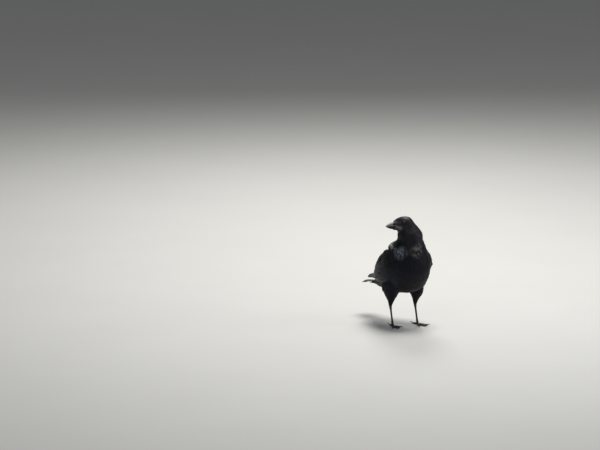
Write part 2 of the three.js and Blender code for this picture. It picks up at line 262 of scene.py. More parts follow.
def nearest_solid(names, points):
    """(which of the named solids is nearest, its nearest point) for each given point."""
    gaps, spots = [], []
    for name in names:
        corners, faces = node_arrays(name)
        tree = BVHTree.FromPolygons(corners.tolist(), faces.tolist())
        found = [tree.find_nearest(point) for point in points.tolist()]
        gaps.append([hit[3] for hit in found])
        spots.append([tuple(hit[0]) for hit in found])
    nearest = np.argmin(np.array(gaps), axis=0)
    return nearest, np.array(spots)[nearest, np.arange(len(points))]


class Surface:
    """A closed surface that can be asked for its nearest points, with values blended there."""

    def __init__(self, points, quads):
        self.points, self.quads = points, quads
        self.triangles = np.concatenate([quads[:, [0, 1, 2]], quads[:, [0, 2, 3]]])
        base = np.arange(len(quads))[:, None] * 4
        self.loops = np.concatenate([base + [0, 1, 2], base + [0, 2, 3]])
        self.edges = edges_of(quads)
        self.fields = {}
        self.refresh()

    def refresh(self):
        """Rebuilds the search tree and the normals after the points have moved."""
        self.tree = BVHTree.FromPolygons(self.points.tolist(), self.triangles.tolist())
        self.fields["normal"] = corner_normals(self.points, self.triangles)

    def drop(self, where):
        """(nearest points, values by name, faces, corner weights) for each given point."""
        where = np.asarray(where, float)
        spots = np.empty_like(where)
        faces = np.empty(len(where), np.int64)
        nearest = self.tree.find_nearest
        for i, point in enumerate(where.tolist()):
            spot, _, face, _ = nearest(point)
            spots[i] = spot
            faces[i] = face
        return spots, self.blend(spots, faces), faces, self.weights(spots, faces)

    def weights(self, spots, faces):
        """How near each spot is to each corner of its triangle."""
        a, b, c = (self.points[self.triangles[faces, i]] for i in range(3))
        whole = np.cross(b - a, c - a)
        size = np.maximum((whole * whole).sum(-1), 1e-30)
        wb = (np.cross(spots - a, c - a) * whole).sum(-1) / size
        wc = (np.cross(b - a, spots - a) * whole).sum(-1) / size
        wb, wc = np.clip(wb, 0, 1), np.clip(wc, 0, 1)
        return np.stack([1 - wb - wc, wb, wc], -1)

    def blend(self, spots, faces):
        """The surface's values at the spots."""
        weights = self.weights(spots, faces)
        found = {}
        for name, values in self.fields.items():
            corners = values[self.triangles[faces]]
            shape = weights.shape + (1,) * (corners.ndim - 2)
            found[name] = (corners * weights.reshape(shape)).sum(1)
            if name in ("normal", "lie"):
                found[name] = unit(found[name])
        return found

    def areas(self):
        """The area of each triangle."""
        a, b, c = (self.points[self.triangles[:, i]] for i in range(3))
        return np.linalg.norm(np.cross(b - a, c - a), axis=1) / 2


def slices(names, start, end, count):
    """Middles of slices through the named solids, in order from start towards end."""
    points = np.concatenate([node_arrays(name)[0] for name in names])
    heading = unit(np.subtract(end, start))
    reach = points @ heading
    marks = np.linspace(reach.min(), reach.max() + 1e-9, count + 1)
    middles = []
    for low, high in zip(marks[:-1], marks[1:]):
        inside = points[(reach >= low) & (reach < high)]
        if len(inside) > 3:
            middles.append((inside.min(0) + inside.max(0)) / 2)
    return np.array(middles)


def smooth_line(points, spacing=0.003, passes=12):
    """Evenly spaced points along a softened line, with the headings there."""
    points = np.asarray(points, float)
    lengths = np.r_[0, np.cumsum(np.linalg.norm(np.diff(points, axis=0), axis=1))]
    marks = np.linspace(0, lengths[-1], max(8, int(lengths[-1] / spacing)))
    line = np.stack([np.interp(marks, lengths, points[:, i]) for i in range(3)], -1)
    for _ in range(passes):
        line[1:-1] += 0.5 * ((line[:-2] + line[2:]) / 2 - line[1:-1])
    return line, unit(np.gradient(line, axis=0))


def headings_by(line, headings, points, softness):
    """The heading of the nearest stretch of a line, softened, for each point."""
    gaps = ((points[:, None, :] - line[None]) ** 2).sum(-1)
    weights = np.exp(-(gaps - gaps.min(1, keepdims=True)) / (2 * softness**2))
    return unit(weights @ headings)


class Bird:
    """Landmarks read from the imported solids, and the two surfaces that the coat is laid on."""

    def __init__(self, sizes):
        self.eyes = {s: middle_of(f"eye_{s}") for s in SIDES}
        low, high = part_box("eye_left")
        self.eye_radius = (high.z - low.z) / 2
        self.left = unit(self.eyes["left"] - self.eyes["right"])
        self.up = np.array([0.0, 0.0, 1.0])
        self.front = unit(np.cross(self.left, self.up))
        self.head = (self.eyes["left"] + self.eyes["right"]) / 2
        bill, _ = node_arrays("bill_upper")
        self.bill_tip = bill[np.argmax(bill @ self.front)]
        self.bill_base = bill[bill @ self.front < (bill @ self.front).min() + 0.004].mean(0)
        tail, _ = node_arrays("tail")
        self.tail_tip = tail[tail[:, 1] > tail[:, 1].max() - 0.004].mean(0)
        self.build_lines()
        self.build_surfaces(sizes)

    def build_lines(self):
        """Guide lines down the middle of the body, wings and thighs."""
        neck = slices(["neck"], self.head, self.head - 0.1 * self.up, 3)
        trunk = slices(["trunk"], neck[-1], self.tail_tip, 7)
        tail = slices(["tail"], trunk[-1], self.tail_tip, 4)
        nose = [self.bill_tip, self.bill_base, self.head - 0.002 * self.front]
        behind = [self.head - 0.012 * self.front - 0.012 * self.up]
        self.body_line = smooth_line([*nose, *behind, *neck, *trunk, *tail, self.tail_tip])
        self.wing_line, self.thigh_line = {}, {}
        for side in SIDES:
            points, _ = node_arrays(f"wing_{side}")
            tip, _ = node_arrays(f"primaries_{side}")
            end = tip[np.argmax(tip[:, 1])]
            start = points[np.argmax(points[:, 2] - points[:, 1])]
            line = slices([f"wing_{side}", f"primaries_{side}"], start, end, 12)
            self.wing_line[side] = smooth_line([*line, end], passes=20)
            low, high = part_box(f"thigh_{side}")
            down = slices([f"thigh_{side}"], (0, 0, high.z), (0, 0, low.z), 5)
            self.thigh_line[side] = smooth_line(down)

    def build_surfaces(self, sizes):
        """The skin, and the ground for feathers, which runs on under the tail and wing tips."""
        cell = sizes.skin_cell
        self.skin = Surface(*merged_solids(FLESH, cell, 0.0004))
        self.ground = Surface(*merged_solids(FLESH + GROUND, cell, 0.0004))
        for surface in (self.skin, self.ground):
            surface.points = spread(surface.points, surface.edges, 6, 0.5)
            surface.refresh()
            self.mark(surface)
            depth = surface.fields["width"] * sizes.coat_depth + 0.0003
            depth = depth * (0.6 if surface is self.ground else 1.0)
            depth = np.where(surface.fields["quill"] > 0.5, 0.0005, depth)
            normals = spread(surface.fields["normal"], surface.edges, 3)
            move = surface.fields["short"] - depth
            surface.points = surface.points + unit(normals) * move[:, None]
            surface.points = spread(surface.points, surface.edges, 2, 0.4)
            if surface is self.ground:
                self.clear_lids(surface)
            surface.refresh()
            lie = flatten(surface.fields["lie"], surface.fields["normal"])
            for _ in range(6):
                lie = spread(lie, surface.edges, 3)
                lie = flatten(lie, surface.fields["normal"])
            surface.fields["lie"] = lie

    def clear_lids(self, surface):
        """Lifts the ground over the eyelids, so that the smallest feathers reach the rims."""
        for side in SIDES:
            away = surface.points - self.eyes[side]
            gap = np.linalg.norm(away, axis=1, keepdims=True)
            room = self.eye_radius * 1.015
            pushed = self.eyes[side] + away / gap * room
            surface.points = np.where(gap < room, pushed, surface.points)

    def mark(self, surface):
        """Gives each corner its part of the body, the way feathers lie there, and their width."""
        points = surface.points
        names = [*FLESH, *GROUND]
        nearest, spots = nearest_solid(names, points)
        short = ((spots - points) * surface.fields["normal"]).sum(-1)
        surface.fields["short"] = spread(short, surface.edges, 8)
        masks = {n: (nearest == i).astype(float) for i, n in enumerate(names)}
        masks = {n: spread(m, surface.edges, 8) for n, m in masks.items()}
        lie = headings_by(*self.body_line, points, 0.012)
        for side in SIDES:
            wing = masks[f"wing_{side}"]
            thigh = masks[f"thigh_{side}"] + masks[f"shank_{side}"]
            along = headings_by(*self.wing_line[side], points, 0.02)
            lie = lie * (1 - wing[:, None]) + along * wing[:, None]
            down = headings_by(*self.thigh_line[side], points, 0.01)
            lie = lie * (1 - thigh[:, None]) + down * thigh[:, None]
        from_head = np.linalg.norm(points - self.head, axis=1) * 1000
        width = np.interp(from_head, *WIDTH_FROM_HEAD)
        for side in SIDES:
            thigh = masks[f"thigh_{side}"] + masks[f"shank_{side}"]
            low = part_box(f"thigh_{side}")[0].z
            small = np.interp((points[:, 2] - low) * 1000, *WIDTH_UP_THIGH)
            width = width * (1 - thigh) + np.minimum(small, width) * thigh
        for side in SIDES:
            near = np.linalg.norm(points - self.eyes[side], axis=1) * 1000
            width = width * np.interp(near, *SHARE_FROM_EYE)
        surface.fields["width"] = spread(width, surface.edges, 4) * MM
        surface.fields["lie"] = lie
        surface.fields["wing"] = masks["wing_left"] + masks["wing_right"]
        surface.fields["thigh"] = masks["thigh_left"] + masks["thigh_right"]
        surface.fields["quill"] = masks["tail"] + masks["shank_left"] + masks["shank_right"]
        surface.fields["to_wing"] = unit(self.nearest_wing(points)[1] - points)

    def nearest_wing(self, points):
        """(share from 0 to 1, place) along the middle line of the wing on each point's side."""
        share, spots = np.zeros(len(points)), np.zeros_like(points)
        for side in SIDES:
            line, _ = self.wing_line[side]
            near = ((points[:, None] - line[None]) ** 2).sum(-1).argmin(1)
            on_side = (points[:, 0] > 0) == (side == "left")
            share[on_side] = near[on_side] / (len(line) - 1)
            spots[on_side] = line[near[on_side]]
        return share, spots

    def outward(self, side):
        """The way that the eye on this side looks."""
        return self.left if side == "left" else -self.left

    def in_head(self, points):
        """How far the points are ahead of, to the left of and above the middle of the eyes."""
        away = np.asarray(points) - self.head
        return away @ self.front, away @ self.left, away @ self.up


BIRD = {}


def bird():
    """The landmarks and surfaces, worked out once."""
    if "made" not in BIRD:
        BIRD["made"] = Bird(bpy.context.scene.crow_sizes)
    return BIRD["made"]


# ---- feathers -----------------------------------------------------------------------


def contour_outline(y):
    """Half-width of a body feather along its length: narrow at the root and round at the tip."""
    return np.minimum(1, (np.maximum(1 - y, 0) / 0.36) ** 0.58) * (0.4 + 0.6 * ramp(y, 0, 0.5))


def hackle_outline(y):
    """Half-width of a pointed throat feather."""
    return np.minimum(1, (np.maximum(1 - y, 0) / 0.62) ** 0.95) * (0.4 + 0.6 * ramp(y, 0, 0.35))


def flight_outline(y):
    """Half-width of a long wing or tail feather."""
    return np.minimum(1, (np.maximum(1 - y, 0) / 0.10) ** 0.55) * (0.55 + 0.45 * ramp(y, 0, 0.3))


def bristle_outline(y):
    """Half-width of a stiff bristle."""
    return np.clip(1.1 - y, 0.06, 1)


class Vane:
    """One feather's shape on a flat page: shaft, barbs in groups, and frayed ends."""

    def __init__(self, rows, columns, outline, rake=0.16, fray=0.05, split=0.3, seed=1,
                 webs=(1.0, 1.0), ridge=0.03, camber=0.05):
        chance = np.random.default_rng(seed)
        step = 1 - (1 - np.linspace(0, 1, rows + 1)) ** 1.3
        shaft = 0.02 + 0.91 * step
        reach = shaft + rake * (1 - step) + 0.07 * step
        along, across, height, quads = list(shaft), [0.0] * (rows + 1), [ridge] * (rows + 1), []

        def add(u, v):
            along.append(u)
            across.append(v)
            height.append(-camber * v * v)
            return len(along) - 1

        for sign, web in zip((-1, 1), webs):
            inner = [list(range(rows + 1))]
            for b in columns[1:-1]:
                u = shaft + (reach - shaft) * b**1.2
                v = sign * web * outline(reach) * b
                inner.append([add(*pair) for pair in zip(u, v)])
            for row in range(rows):
                ends = []
                pull = split * chance.random() * (0.35 + 0.65 * step[row])
                middle = (reach[row] + reach[row + 1]) / 2
                short = 1 - fray * chance.random()
                for j in (row, row + 1):
                    u = reach[j] + (middle - reach[j]) * pull
                    u -= fray * 0.5 * chance.random()
                    wide = sign * web * outline(reach[j]) * short
                    ends.append(add(u, wide * (1 - fray * 0.6 * chance.random())))
                lines = [[line[row], line[row + 1]] for line in inner] + [ends]
                for near, far in zip(lines[:-1], lines[1:]):
                    face = [near[0], near[1], far[1], far[0]]
                    quads.append(face if sign > 0 else face[::-1])
        self.along = np.clip(np.array(along), 0, 1)
        self.across = np.array(across)
        self.height = np.array(height)
        self.quads = np.array(quads, np.int32)


def march(ground, roots, headings, lengths, steps, follow=0.5):
    """Points and normals along the ground, from each root, following the lie of the coat."""
    spots, found, _, _ = ground.drop(roots)
    normals = found["normal"]
    ahead = flatten(headings, normals)
    path, ups = [spots], [normals]
    stride = (np.asarray(lengths) / steps)[:, None]
    for _ in range(steps):
        spots, found, _, _ = ground.drop(spots + ahead * stride)
        normals = found["normal"]
        ahead = flatten(ahead * (1 - follow) + found["lie"] * follow, normals)
        path.append(spots)
        ups.append(normals)
    return np.stack(path, 1), np.stack(ups, 1)


def along_path(values, marks):
    """Values of each path at the given shares of its length."""
    steps = values.shape[1] - 1
    spot = np.clip(marks, 0, 1) * steps
    low = np.minimum(spot.astype(int), steps - 1)
    share = (spot - low)[None, :, None]
    return values[:, low] * (1 - share) + values[:, low + 1] * share


class Coat:
    """Feathers gathered into one joined mesh."""

    def __init__(self, seed):
        self.chance = np.random.default_rng(seed)
        self.parts = []
        self.count = 0

    def lay(self, vane, path, ups, width, low, high, arch=0.25):
        """Lays one vane on each path. low and high are the heights of its root and tip."""
        number = len(path)
        spots = along_path(path, vane.along)
        normals = unit(along_path(ups, vane.along))
        ahead = along_path(np.gradient(path, axis=1), vane.along)
        sides = unit(np.cross(normals, ahead))
        width, low, high = (np.broadcast_to(v, number)[:, None] for v in (width, low, high))
        u = vane.along[None]
        rise = low + (high - low) * (u * (1 + arch) - arch * u * u)
        rise = rise + vane.height[None] * width
        points = spots + sides * (vane.across[None] * width)[..., None]
        points = points + normals * rise[..., None]
        quads = vane.quads[None] + (np.arange(number) * len(vane.along))[:, None, None]
        tone = np.repeat(self.chance.random(number), len(vane.along))
        self.parts.append({
            "points": points.reshape(-1, 3),
            "quads": quads.reshape(-1, 4) + self.count,
            "along": np.tile(vane.along, number),
            "across": np.tile(vane.across, number),
            "tone": tone,
            "roots": np.repeat(path[:, 0], len(vane.along), axis=0),
        })
        self.count += points.shape[0] * points.shape[1]

    def make(self, name, material, replaced=()):
        """The gathered feathers as one piece, each mapped where its root is on the skin."""
        data = {k: np.concatenate([part[k] for part in self.parts]) for k in self.parts[0]}
        mesh = new_mesh(name, data["points"], data["quads"])
        for key in ("along", "across", "tone"):
            values = mesh.attributes.new(key, "FLOAT", "POINT")
            values.data.foreach_set("value", data[key].astype(np.float32))
        roots, back = np.unique(data["roots"], axis=0, return_inverse=True)
        places = skin_places(roots)[back.reshape(-1)]
        offset = np.stack([data["across"] * 0.5, data["along"] - 0.5], -1) * MAP_PATCH
        spots = np.clip(places + offset, 0.0005, 0.9995)[data["quads"].ravel()]
        uv = mesh.uv_layers.new(name="OFBake")
        uv.data.foreach_set("uv", spots.astype(np.float32).ravel())
        return place(name, mesh, material, replaced)


def skin_places(roots):
    """Where each root is on the skin's own unwrap."""
    skin = bird().skin
    _, _, faces, weights = skin.drop(roots)
    corners = BIRD["unwrap"][skin.loops[faces]]
    return (corners * weights[..., None]).sum(1)


def scatter(surface, spacing, weight, chance, pool=7):
    """Points spread over a surface, about spacing apart, where weight is above a half."""
    width = spacing[surface.triangles].mean(1)
    wanted = weight[surface.triangles].mean(1) > 0.5
    share = surface.areas() / width**2 * wanted
    number = int(share.sum() * pool)
    picks = np.sort(chance.choice(len(share), number, p=share / share.sum()))
    a, b = chance.random(number), chance.random(number)
    flip = a + b > 1
    a, b = np.where(flip, 1 - a, a), np.where(flip, 1 - b, b)
    corners = surface.points[surface.triangles[picks]]
    points = corners[:, 0] * (1 - a - b)[:, None] + corners[:, 1] * a[:, None]
    points = points + corners[:, 2] * b[:, None]
    tree = KDTree(number)
    for i, point in enumerate(points.tolist()):
        tree.insert(point, i)
    tree.balance()
    free = np.ones(number, bool)
    kept = []
    reach = width[picks]
    for i in chance.permutation(number).tolist():
        if free[i]:
            kept.append(i)
            for _, j, _ in tree.find_range(points[i], reach[i]):
                free[j] = False
    kept = np.array(kept)
    return evened(surface, points[kept], reach[kept] * 1.3)


def evened(surface, points, gaps, rounds=3):
    """The points, pushed apart over the surface where they stand closer than their gaps."""
    for _ in range(rounds):
        tree = KDTree(len(points))
        for i, point in enumerate(points.tolist()):
            tree.insert(point, i)
        tree.balance()
        near = np.array([[found[1] for found in tree.find_n(p, 7)[1:]] for p in points.tolist()])
        away = points[:, None] - points[near]
        far = np.linalg.norm(away, axis=-1, keepdims=True)
        push = away / np.maximum(far, 1e-6) * np.maximum(gaps[:, None, None] - far, 0)
        points = surface.drop(points + 0.35 * push.sum(1))[0]
    return points


def clear_of_eyes(made, path, lengths):
    """Lengths cut so that no feather runs over an eye."""
    steps = path.shape[1] - 1
    keep = np.ones(len(path))
    for side in SIDES:
        out = made.outward(side)
        away = path - made.eyes[side]
        gap = np.linalg.norm(away, axis=-1)
        turned = np.degrees(np.arccos(np.clip((away @ out) / np.maximum(gap, 1e-9), -1, 1)))
        over = (turned < 90) & (gap * np.sin(np.radians(turned)) < EYE_OPENING)
        first = np.where(over.any(1), over.argmax(1), steps + 1)
        keep = np.minimum(keep, np.where(first <= steps, np.maximum(first - 0.6, 0) / steps, 1))
    return lengths * keep, keep


# ---- materials ----------------------------------------------------------------------


class Link:
    """A number, colour or vector in a material's nodes, with arithmetic for numbers."""

    def __init__(self, recipe, socket):
        self.recipe, self.socket = recipe, socket

    def math(self, operation, *values):
        """A Math node of these values."""
        inputs = dict(enumerate(values))
        return self.recipe.node("ShaderNodeMath", {"operation": operation}, inputs)

    def __add__(self, other):
        return self.math("ADD", self, other)

    def __radd__(self, other):
        return self.math("ADD", other, self)

    def __sub__(self, other):
        return self.math("SUBTRACT", self, other)

    def __rsub__(self, other):
        return self.math("SUBTRACT", other, self)

    def __mul__(self, other):
        return self.math("MULTIPLY", self, other)

    def __rmul__(self, other):
        return self.math("MULTIPLY", other, self)

    def sine(self):
        """Its sine, with the value in radians."""
        return self.math("SINE", self)

    def size(self):
        """Its size without its sign."""
        return self.math("ABSOLUTE", self)

    def step(self, low, high):
        """A soft step from 0 at low to 1 at high."""
        inputs = {"Value": self, "From Min": low, "From Max": high}
        return self.recipe.node("ShaderNodeMapRange", {"interpolation_type": "SMOOTHSTEP"}, inputs)


class Recipe:
    """A material being put together from nodes."""

    def __init__(self, name):
        self.material = bpy.data.materials.new(name)
        self.material.use_nodes = True
        self.tree = self.material.node_tree
        self.tree.nodes.clear()

    def node(self, kind, settings=None, inputs=None, output=0):
        """A node of a kind: its settings first, then the values or links of its sockets."""
        made = self.tree.nodes.new(kind)
        for key, value in (settings or {}).items():
            setattr(made, key, value)
        for key, value in (inputs or {}).items():
            socket = made.inputs[key]
            if isinstance(value, Link):
                self.tree.links.new(value.socket, socket)
            elif isinstance(value, (tuple, list)) and socket.type == "RGBA":
                socket.default_value = (*value[:3], 1)
            else:
                socket.default_value = value
        return Link(self, made.outputs[output])

    def mix(self, share, first, second):
        """Two colours mixed."""
        settings = {"data_type": "RGBA", "clamp_factor": True}
        return self.node("ShaderNodeMix", settings, {0: share, 6: first, 7: second}, 2)

    def spot(self):
        """Where the surface is on the bird, in metres."""
        return self.node("ShaderNodeTexCoord", output="Object")

    def value(self, name):
        """A number stored on the mesh."""
        return self.node("ShaderNodeAttribute", {"attribute_name": name}, output="Fac")

    def noise(self, scale, detail=3.0, roughness=0.55, vector=None):
        """Cloudy noise from 0 to 1."""
        inputs = {"Scale": scale, "Detail": detail, "Roughness": roughness}
        inputs["Vector"] = vector or self.spot()
        return self.node("ShaderNodeTexNoise", {}, inputs)

    def near(self, centre, inside, outside):
        """1 within inside metres of a point, falling softly to 0 at outside."""
        settings = {"operation": "DISTANCE"}
        gap = self.node("ShaderNodeVectorMath", settings, {0: self.spot(), 1: centre}, "Value")
        return 1 - gap.step(inside, outside)

    def stretched(self, scale):
        """Coordinates stretched by a different amount each way."""
        settings = {"operation": "MULTIPLY"}
        return self.node("ShaderNodeVectorMath", settings, {0: self.spot(), 1: scale}, "Vector")

    def bump(self, height, strength, distance):
        """A normal roughened by a height."""
        inputs = {"Height": height, "Strength": strength, "Distance": distance}
        return self.node("ShaderNodeBump", {}, inputs, "Normal")

    def finish(self, **inputs):
        """Ends in one Principled surface."""
        inputs = {key.replace("_", " "): value for key, value in inputs.items()}
        surface = self.node("ShaderNodeBsdfPrincipled", {}, inputs)
        end = self.tree.nodes.new("ShaderNodeOutputMaterial")
        self.tree.links.new(surface.socket, end.inputs["Surface"])
        return self.material


def plumage(name, roughness, sheen, barbs=0.25, ribs=120.0, shine=0.5):
    """Black feather: a faint oily colour that drifts over the body, painted highlight patches on
    the breast and face, and barbs along each vane.
    """
    made, colours = bird(), bpy.context.scene.crow_colours
    recipe = Recipe(name)
    along, across, tone = (recipe.value(k) for k in ("along", "across", "tone"))
    drift = recipe.noise(22.0, 2.0)
    nape = recipe.near(tuple(made.head - 0.02 * made.front - 0.03 * made.up), 0.03, 0.085)
    throat = recipe.near(tuple(made.head + 0.012 * made.front - 0.055 * made.up), 0.02, 0.06)
    colour = recipe.mix(drift.step(0.38, 0.62), tuple(colours.black), tuple(colours.gloss))
    colour = recipe.mix(nape * 0.5, colour, tuple(colours.nape))
    colour = recipe.mix(throat * 0.5, colour, tuple(colours.throat))
    ragged = (tone * 0.6 + recipe.noise(70.0, 2.0) * 0.8).step(0.4, 0.85)
    # Painted highlight patches on the breast, partly pale moulting feather bases.
    for chest, pale in CHEST_HIGHLIGHTS:
        colour = recipe.mix(recipe.near(chest, 0.005, 0.027) * ragged, colour, pale)
    # Painted highlight patches on both sides of the face, partly paler moulting skin.
    for way in (-1, 1):
        for ahead, out, rise, wide, pale in FACE_HIGHLIGHTS:
            cheek = made.head + ahead * made.front + way * out * made.left + rise * made.up
            mask = recipe.near(tuple(cheek), 0.002, wide)
            colour = recipe.mix(mask * 0.75, colour, pale)
    edge = along.step(0.72, 1.0) * 0.22 + (tone - 0.5).step(0.2, 0.5) * 0.12
    colour = recipe.mix(edge, colour, tuple(colours.wear_and_highlight))
    lines = (along * ribs - across.size() * (ribs * 0.16) + tone * 20.0).sine()
    height = lines * barbs + recipe.noise(900.0, 2.0) * 0.5
    rough = roughness + (tone - 0.5) * 0.14 + (drift - 0.5) * 0.1
    return recipe.finish(
        Base_Color=colour,
        Roughness=rough,
        Specular_Tint=tuple(colours.shine),
        Specular_IOR_Level=shine,
        Sheen_Weight=sheen,
        Sheen_Roughness=0.35,
        Sheen_Tint=tuple(colours.shine),
        Normal=recipe.bump(height, 0.16, 0.0004),
    )


def skin_material(name="dark_skin", pale=(0.022, 0.022, 0.025)):
    """Dark bare skin under the coat, finely creased round the eyes."""
    recipe = Recipe(name)
    creases = recipe.noise(700.0, 4.0, 0.6)
    colour = recipe.mix(recipe.noise(60.0), (0.005, 0.005, 0.006), pale)
    return recipe.finish(
        Base_Color=colour,
        Roughness=0.55 + creases * 0.2,
        Normal=recipe.bump(creases, 0.5, 0.0004),
    )


def horn_material(name, dark, pale, roughness):
    """Horn in the given greys, with fine streaks along it and a soft grey gloss, and a pale
    painted highlight, partly real wear, where the mesh marks its upward faces.
    """
    made = bird()
    recipe = Recipe(name)
    long_way = tuple(90.0 + 900.0 * (1 - np.abs(made.front)))
    streaks = recipe.noise(1.0, 4.0, 0.6, recipe.stretched(long_way))
    clouds = recipe.noise(90.0, 3.0)
    scratch = recipe.noise(1400.0, 2.0)
    colour = recipe.mix(streaks.step(0.35, 0.7) * 0.7 + clouds.step(0.4, 0.7) * 0.3, dark, pale)
    # Pale painted highlight over the faces turned up, partly real wear of the horn.
    colour = recipe.mix(recipe.value("wear_and_highlight") * 0.85, colour, (0.72, 0.735, 0.74))
    return recipe.finish(
        Base_Color=colour,
        Roughness=roughness + (clouds - 0.5) * 0.2 + (scratch - 0.5) * 0.08,
        Specular_IOR_Level=0.5,
        Coat_Weight=0.15,
        Coat_Roughness=0.3,
        Normal=recipe.bump(streaks * 0.6 + scratch * 0.4, 0.22, 0.0003),
    )


def leg_material():
    """Black horny scales, duller and dustier in the gaps between them."""
    recipe = Recipe("black_scales")
    gap = recipe.value("gap")
    clouds = recipe.noise(120.0, 3.0)
    grain = recipe.noise(1500.0, 3.0)
    colour = recipe.mix(clouds.step(0.35, 0.7), (0.014, 0.014, 0.016), (0.034, 0.034, 0.037))
    colour = recipe.mix(gap * 0.6, colour, (0.07, 0.066, 0.06))
    return recipe.finish(
        Base_Color=colour,
        Roughness=0.42 + gap * 0.3 + (clouds - 0.5) * 0.2,
        Normal=recipe.bump(grain, 0.25, 0.0003),
    )


def eye_material():
    """A very dark brown iris round a black pupil, under a wet clear coat."""
    recipe = Recipe("wet_eye")
    out = recipe.value("out")
    grain = recipe.noise(1300.0, 2.0)
    iris = recipe.mix(grain, (0.004, 0.002, 0.001), (0.008, 0.004, 0.003))
    colour = recipe.mix(out.step(0.48, 0.54), (0.001, 0.001, 0.001), iris)
    colour = recipe.mix(out.step(0.72, 0.8), colour, (0.012, 0.009, 0.008))
    return recipe.finish(
        Base_Color=colour,
        Roughness=0.06 + grain * 0.03,
        Coat_Weight=0.25,
        Coat_Roughness=0.02,
        Specular_IOR_Level=0.25,
    )


def floor_material():
    """Plain pale studio floor."""
    recipe = Recipe("pale_floor")
    colour = recipe.mix(recipe.noise(3.0), (0.60, 0.60, 0.58), (0.64, 0.64, 0.62))
    return recipe.finish(Base_Color=colour, Roughness=0.75)


# ---- settings -----------------------------------------------------------------------


class CrowSizes(bpy.types.PropertyGroup):
    """Sizes of the skin and the coat."""

    skin_cell: FloatProperty(
        name="Skin mesh cell", description="Edge of one face of the skin's mesh",
        default=0.0022, min=0.001, max=0.01, unit="LENGTH",
    )
    coat_depth: FloatProperty(
        name="Coat depth", description="Depth of the coat in half-widths of a feather",
        default=0.38, min=0.1, max=1.0, subtype="FACTOR",
    )
    spacing: FloatProperty(
        name="Feather spacing", description="Gap between feather roots, in half-widths",
        default=0.82, min=0.5, max=2.0, subtype="FACTOR",
    )
    seed: IntProperty(name="Seed", description="Start of the chance numbers", default=7, min=0)


class CrowColours(bpy.types.PropertyGroup):
    """Colours of the plumage."""

    black: FloatVectorProperty(
        name="Black", description="Main colour of the feathers",
        default=(0.0045, 0.0045, 0.0055), size=3, min=0, max=1, subtype="COLOR",
    )
    gloss: FloatVectorProperty(
        name="Gloss", description="Oily tint that drifts over the feathers",
        default=(0.005, 0.0055, 0.012), size=3, min=0, max=1, subtype="COLOR",
    )
    nape: FloatVectorProperty(
        name="Nape", description="Plum tint of the nape and shoulders",
        default=(0.020, 0.016, 0.020), size=3, min=0, max=1, subtype="COLOR",
    )
    throat: FloatVectorProperty(
        name="Throat", description="Green-blue tint of the throat",
        default=(0.003, 0.006, 0.009), size=3, min=0, max=1, subtype="COLOR",
    )
    # Real wear of the feather tips; the bill's mark of the same name is a painted highlight,
    # partly wear.
    wear_and_highlight: FloatVectorProperty(
        name="Worn edge", description="Dusty colour of worn feather tips",
        default=(0.022, 0.020, 0.021), size=3, min=0, max=1, subtype="COLOR",
    )
    shine: FloatVectorProperty(
        name="Shine", description="Colour of the feathers' highlights",
        default=(0.88, 0.90, 1.0), size=3, min=0, max=1, subtype="COLOR",
    )


class StageSettings(bpy.types.PropertyGroup):
    """Floor, lights and camera."""

    azimuth: FloatProperty(
        name="Camera side", description="Turn of the camera round the bird, in degrees",
        default=328.0, min=0, max=360,
    )
    elevation: FloatProperty(
        name="Camera height", description="Angle of the camera above the floor, in degrees",
        default=11.0, min=1, max=80,
    )
    distance: FloatProperty(
        name="Camera distance", description="From the camera to the middle of the picture",
        default=15.0, min=1, max=60, unit="LENGTH",
    )
    across: FloatProperty(
        name="Bird to the right", description="Feet to the right of the picture's middle",
        default=0.310, min=-1, max=1, unit="LENGTH",
    )
    down: FloatProperty(
        name="Bird below the middle", description="Feet below the picture's middle",
        default=0.300, min=-1, max=1, unit="LENGTH",
    )
    picture: FloatProperty(
        name="Picture width", description="Width of the picture where the bird stands",
        default=1.8, min=0.2, max=10, unit="LENGTH",
    )


# ---- pieces -------------------------------------------------------------------------


def unwrap_skin(piece):
    """Unwraps the skin and keeps each face corner's place."""
    bpy.context.view_layer.objects.active = piece
    piece.select_set(True)
    bpy.ops.object.mode_set(mode="EDIT")
    bpy.ops.mesh.select_all(action="SELECT")
    bpy.ops.uv.smart_project(angle_limit=math.radians(66), island_margin=0.004)
    bpy.ops.object.mode_set(mode="OBJECT")
    piece.select_set(False)
    layer = piece.data.uv_layers.active
    layer.name = "OFBake"
    places = np.empty(len(piece.data.loops) * 2)
    layer.data.foreach_get("uv", places)
    BIRD["unwrap"] = places.reshape(-1, 2)


class CROW_OT_skin(bpy.types.Operator):
    """Lays one skin over the trunk, neck, head, wings and thighs"""

    bl_idname = "crow.skin"
    bl_label = "Skin"

    def execute(self, context):
        skin = bird().skin
        mesh = new_mesh("skin", skin.points, skin.quads)
        piece = place("skin", mesh, skin_material(), FLESH)
        unwrap_skin(piece)
        return {"FINISHED"}


